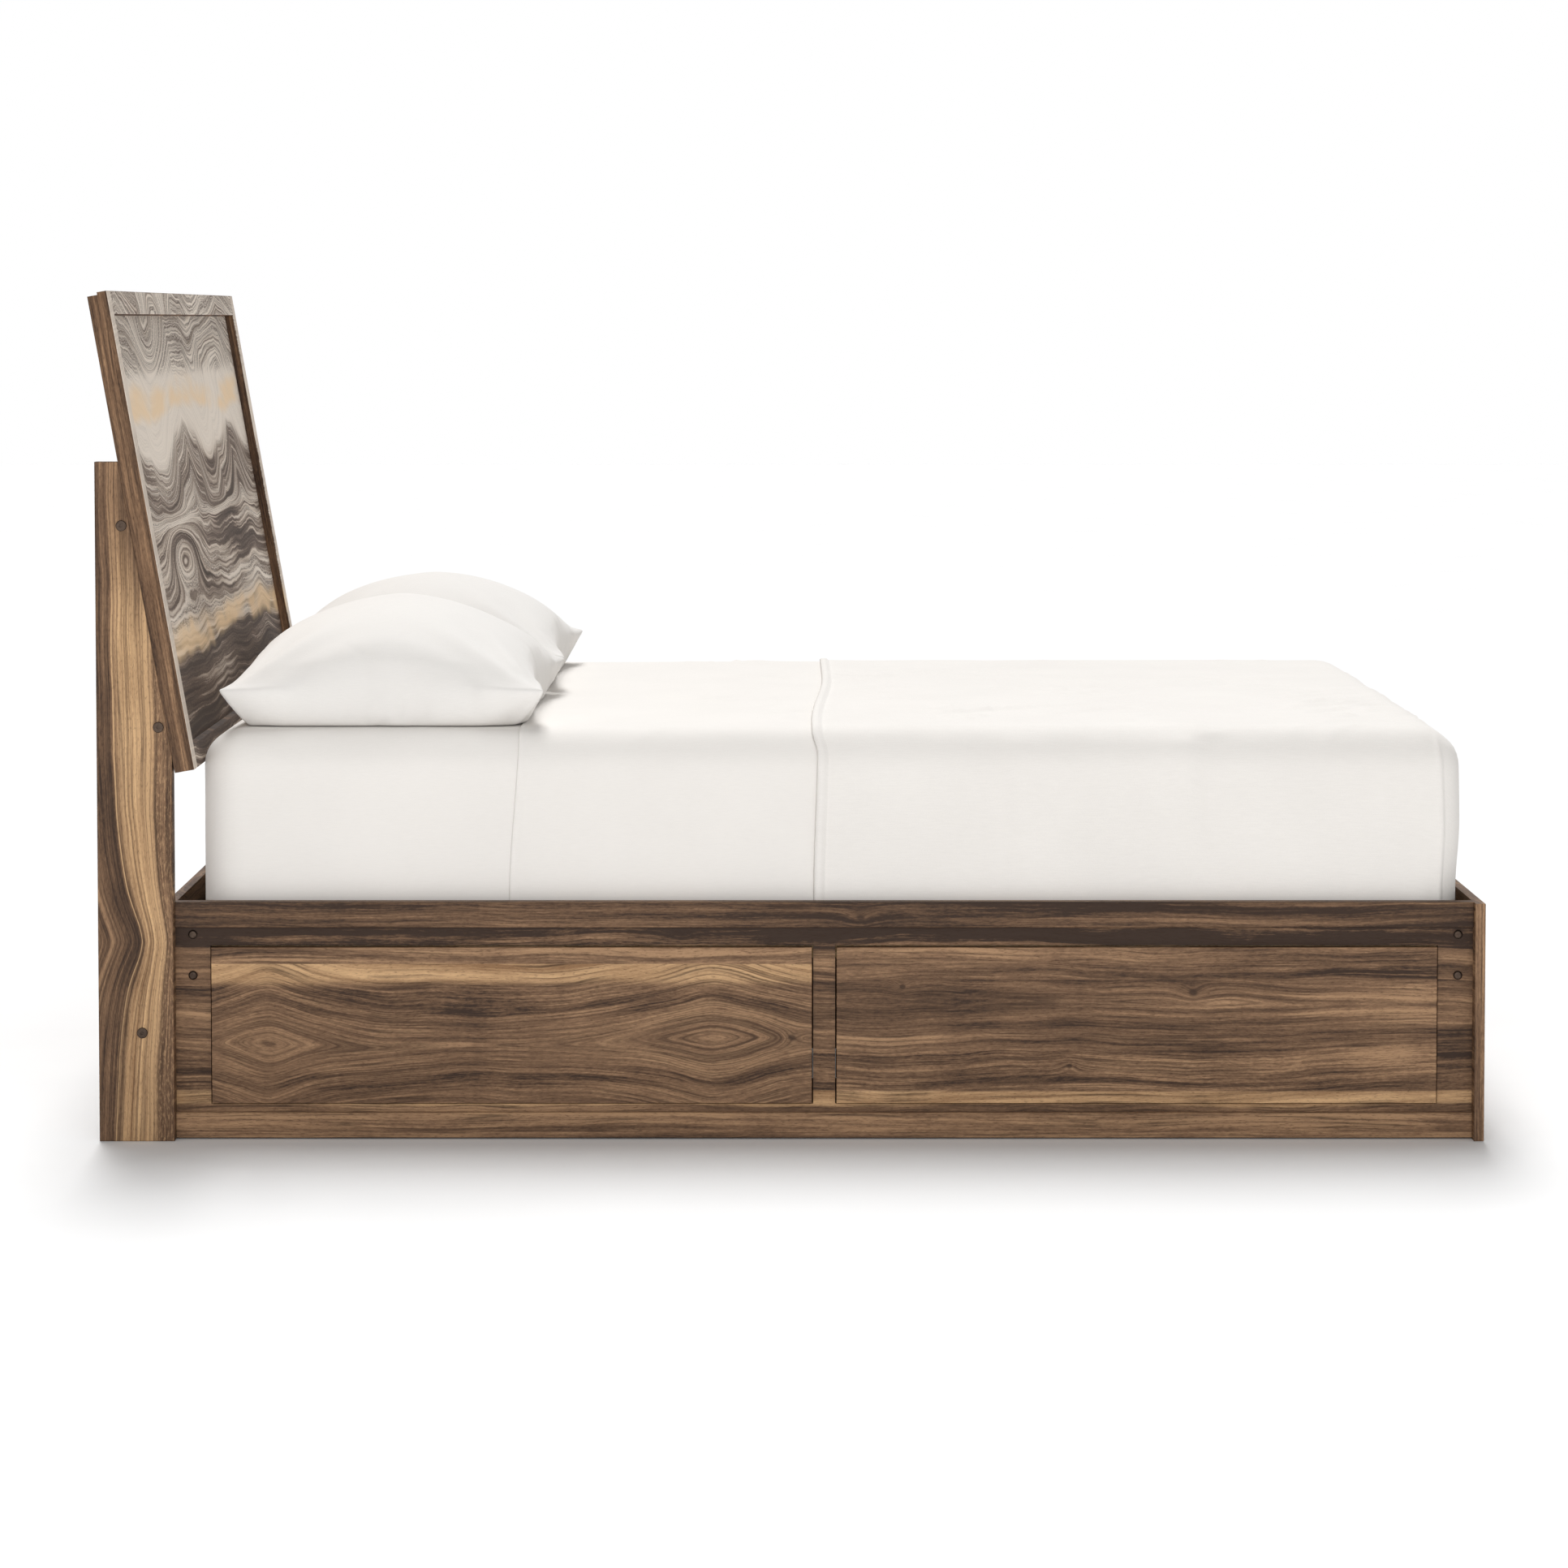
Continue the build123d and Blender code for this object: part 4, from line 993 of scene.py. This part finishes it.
top_sheet = linen("top_sheet_cloth", "top_sheet", sheet_cloth, 2 * LAYER_AIR + SHEET_THICK,
                  SHEET_THICK, start=SHEET_START, hem=0.0010, lean=0.014, wander=0.15)

# %% [markdown]
# ### Coverlet
# The coverlet is thicker, with a rolled hem at its fold.  Its sides hang in shallow upright folds,
# and its foot corners in one upright pleat each.

# %% Coverlet
FOLD_DEPTH, RIPPLE_DEPTH = 0.0110, 0.0100
PLEAT_PLACE, PLEAT_REACH, PLEAT_DEPTH = 0.030, 0.007, 0.0045     # from the foot end, half width
PLEAT_CUTS = (0.016, 0.019, 0.022, 0.025, 0.028, 0.031, 0.034)


def coverlet_swell(place):
    """Upright folds on the side walls and a pleat at each foot corner."""
    station = HEAD_END - place.y
    on_top = ease(place.z, BED_HIGH.z - 0.03, BED_HIGH.z)
    fold = noise.noise(Vector((place.y * 7 + place.z * 2, place.z * 1.1, 8.8)))
    ripple = noise.noise(Vector((place.y * 19 - place.z * 2, place.z * 1.6, 3.3)))
    side = (max(fold, 0) * FOLD_DEPTH + max(ripple, 0) * RIPPLE_DEPTH) * (1 - on_top)
    side *= ease(place.z, RAIL_TOP + 0.01, RAIL_TOP + 0.12)
    side *= ease(station, 1.15, 1.35)
    corner = abs(station - (BED_FOOT - PLEAT_PLACE)) / PLEAT_REACH
    pleat = max(1 - corner, 0) * (1 - on_top) * PLEAT_DEPTH
    return side + pleat


coverlet_grow = 3 * LAYER_AIR + 2 * SHEET_THICK
coverlet = linen("coverlet_cloth", "coverlet", coverlet_cloth, coverlet_grow, COVERLET_THICK,
                 start=COVERLET_START, hem=0.0042, lean=0.006, swell=coverlet_swell,
                 cuts=[BED_LOW.y + step for step in PLEAT_CUTS])

# %% [markdown]
# ### Mattress
# Under the linen lies a quilted mattress.  Its walls have a piping cord at the upper and the lower
# seam, and its top and bottom are pulled down in a regular pattern of tufts.

# %% Mattress pad
TUFT_SPACING, TUFT_DEPTH = 0.19, 0.004
CORD_REACH, CORD_SWELL, CORD_LIMIT = 0.011, 0.0035, 0.0019


def mattress_pad():
    mesh = gridded_box()
    for vert in mesh.verts:
        before = vert.co.copy()
        place = round_block(before, -0.002)
        outward = round_block(before, 0.008) - place
        outward.normalize()
        flat = abs(outward.z)
        tuft = abs(math.sin(place.x * math.pi / TUFT_SPACING)
                   * math.sin(place.y * math.pi / TUFT_SPACING)) ** 0.5
        hollow = (tuft - 1) * TUFT_DEPTH * ease(flat, 0.7, 1.0)
        cord = 0.0
        for level in (BED_LOW.z + 0.030, BED_HIGH.z - 0.058):
            gap = (place.z - level) / CORD_REACH
            if abs(gap) < 1:
                cord = CORD_SWELL * math.sqrt(1 - gap * gap)
        vert.co = place + outward * (hollow + min(cord, CORD_LIMIT))
    return finish_piece("mattress_pad", mesh, ticking)


pad = mattress_pad()
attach(pad, "bedding")
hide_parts("mattress")
print("mattress pad:", len(pad.data.polygons), "faces")

# %% [markdown]
# ### Pillows
# A pillow is a flat bag of two layers sewn along its edge and filled.  Sewing two grids along
# their rims and blowing the bag up with Cloth pressure gives the pointed corners and the drawn-in
# sides.  The soft bag is then set down: its underside is pressed flat where it rests, its top is
# rounded to a crown, and a few folds are added that run in from the corners.

# %% Pillow bag
PILLOW_SEAM = 0.058        # height of the edge seam above the sheet
BAG_STEP = 0.009
BAG_WIDTH, BAG_DEPTH = 0.66, 0.508
SIM_FRAMES = 15


def sewn_bag(width, depth):
    """Two grids sewn together along their rims."""
    mesh = bmesh.new()
    cuts_x, cuts_y = round(width / BAG_STEP), round(depth / BAG_STEP)
    for level in (1, -1):
        made = bmesh.ops.create_grid(mesh, x_segments=cuts_x, y_segments=cuts_y, size=0.5)
        bmesh.ops.scale(mesh, vec=(width, depth, 1), verts=made["verts"])
        if level < 0:
            faces = {face for vert in made["verts"] for face in vert.link_faces}
            bmesh.ops.reverse_faces(mesh, faces=list(faces))
        for vert in made["verts"]:
            side = min(width / 2 - abs(vert.co.x), depth / 2 - abs(vert.co.y))
            lump = noise.noise(Vector((vert.co.x * 5, vert.co.y * 5, 3.0 * level)))
            belly = math.sqrt(max(side, 0)) * 0.10
            vert.co.z = level * (belly + lump * 0.006 * ease(side, 0.0, 0.05))
    bmesh.ops.remove_doubles(mesh, verts=mesh.verts, dist=0.0005)
    return mesh


def blow_up(bag, pressure):
    """Inflate the bag with Cloth and keep the result in its mesh."""
    cloth = bag.modifiers.new("cloth", "CLOTH")
    settings = cloth.settings
    settings.quality = 5
    settings.mass = 0.25
    settings.tension_stiffness = 12
    settings.compression_stiffness = 12
    settings.shear_stiffness = 4
    settings.bending_stiffness = 0.35
    settings.tension_damping = 8
    settings.compression_damping = 8
    settings.use_pressure = True
    settings.uniform_pressure_force = pressure
    settings.effector_weights.gravity = 0
    for frame_number in range(1, SIM_FRAMES + 1):
        scene.frame_set(frame_number)
    graph = bpy.context.evaluated_depsgraph_get()
    settled = bpy.data.meshes.new_from_object(bag.evaluated_get(graph))
    bag.modifiers.clear()
    scene.frame_set(1)
    return settled


def pillow_points(seed):
    """The settled bag, before it is set down."""
    mesh = sewn_bag(BAG_WIDTH, BAG_DEPTH)
    bag = finish_piece(f"bag_{seed}", mesh, pillow_cloth)
    settled = blow_up(bag, 1.5)
    bpy.data.objects.remove(bag)
    return settled


start_mesh = pillow_points(1)
extent = [max(vert.co[axis] for vert in start_mesh.vertices) for axis in range(3)]
print("bag after blowing up:", [round(value * 2, 3) for value in extent])

# %% Set the pillows down
CREASE_HEIGHT = 0.0042
SEAM_PASSES = 14           # rounds of smoothing along the seam


def corner_creases(x, y, reach):
    """Height of the folds that run in from the nearest corner."""
    from_x, from_y = reach[0] - abs(x), reach[1] - abs(y)
    away = math.hypot(from_x, from_y)
    turn = math.atan2(from_y, from_x)
    shift = 1.3 * (x > 0) + 0.7 * (y > 0)
    strong = ease(away, 0.02, 0.09) * (1 - ease(away, 0.12, 0.27))
    return math.sin(turn * 13 + shift + away * 9) * CREASE_HEIGHT * strong * math.sin(2 * turn)


def set_down(name, source, low, high, body, node, flip):
    """Scale the bag into its place, press its underside flat and round off its top."""
    mesh = bmesh.new()
    mesh.from_mesh(source)
    reach = [max(abs(vert.co[axis]) for vert in mesh.verts) for axis in range(3)]
    middle = (low + high) / 2
    half_x, half_y = (high.x - low.x) / 2, (high.y - low.y) / 2
    crown = (high.z - low.z) - PILLOW_SEAM
    for vert in mesh.verts:
        share = vert.co.copy()
        x = share.x / reach[0] * half_x * flip
        y = share.y / reach[1] * half_y
        height = share.z / reach[2]
        if height > 0:
            across, along = abs(share.x / reach[0]), share.y / reach[1]
            dome = max(1 - along ** 2, 0) * max(1 - across ** 2.6, 0) ** 0.8
            height = 0.35 * height ** 1.45 + 0.65 * dome * ease(height, 0.0, 0.5)
            z = PILLOW_SEAM + crown * height + corner_creases(share.x, share.y, reach)
        else:
            down = -height * 2.4
            z = PILLOW_SEAM * (1 - min(down, 1) ** 1.1)
        vert.co = (middle.x + x, middle.y + y, low.z + 0.0002 + z)
    seam = []
    for vert in mesh.verts:
        from_x = half_x - abs(vert.co.x - middle.x)
        from_y = half_y - abs(vert.co.y - middle.y)
        off_seam = abs(vert.co.z - low.z - PILLOW_SEAM)
        if off_seam < 0.035 and min(from_x, from_y) < 0.12 and math.hypot(from_x, from_y) > 0.10:
            seam.append(vert)
    for _ in range(SEAM_PASSES):
        bmesh.ops.smooth_vert(mesh, verts=seam, factor=0.5, use_axis_x=True, use_axis_y=True,
                              use_axis_z=True)
    made = finish_piece(name, mesh, pillow_cloth)
    finer = made.modifiers.new("smooth", "SUBSURF")
    finer.levels = 1
    finer.render_levels = 1
    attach(made, body)
    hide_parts(node)
    return made


for side, flip in (("left", 1), ("right", -1)):
    low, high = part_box(f"pillow_{side}")
    made = set_down(f"pillow_{side}_case", start_mesh, low, high, f"pillow_{side}_body",
                    f"pillow_{side}", flip)
    print(made.name, len(made.data.polygons), "faces")

# %% [markdown]
# ## Floor
# The floor is one large pale sheet, not attached to the bed.

# %% Floor
floor_mesh = bmesh.new()
bmesh.ops.create_grid(floor_mesh, x_segments=4, y_segments=4, size=30)
bmesh.ops.translate(floor_mesh, vec=(0, 0, FLOOR - 0.0005), verts=floor_mesh.verts)
floor_finish = Finish("studio_floor", roughness=0.9, Specular_IOR_Level=0.1)
mottle = floor_finish.noise(floor_finish.vector(floor_finish.x * 3, floor_finish.y * 3))
floor_finish.colour(floor_finish.ramp(mottle, [(0.3, grey(0.93)), (0.7, grey(0.95))]))
floor = finish_piece("studio_floor_sheet", floor_mesh, floor_finish.material)
print("floor laid")
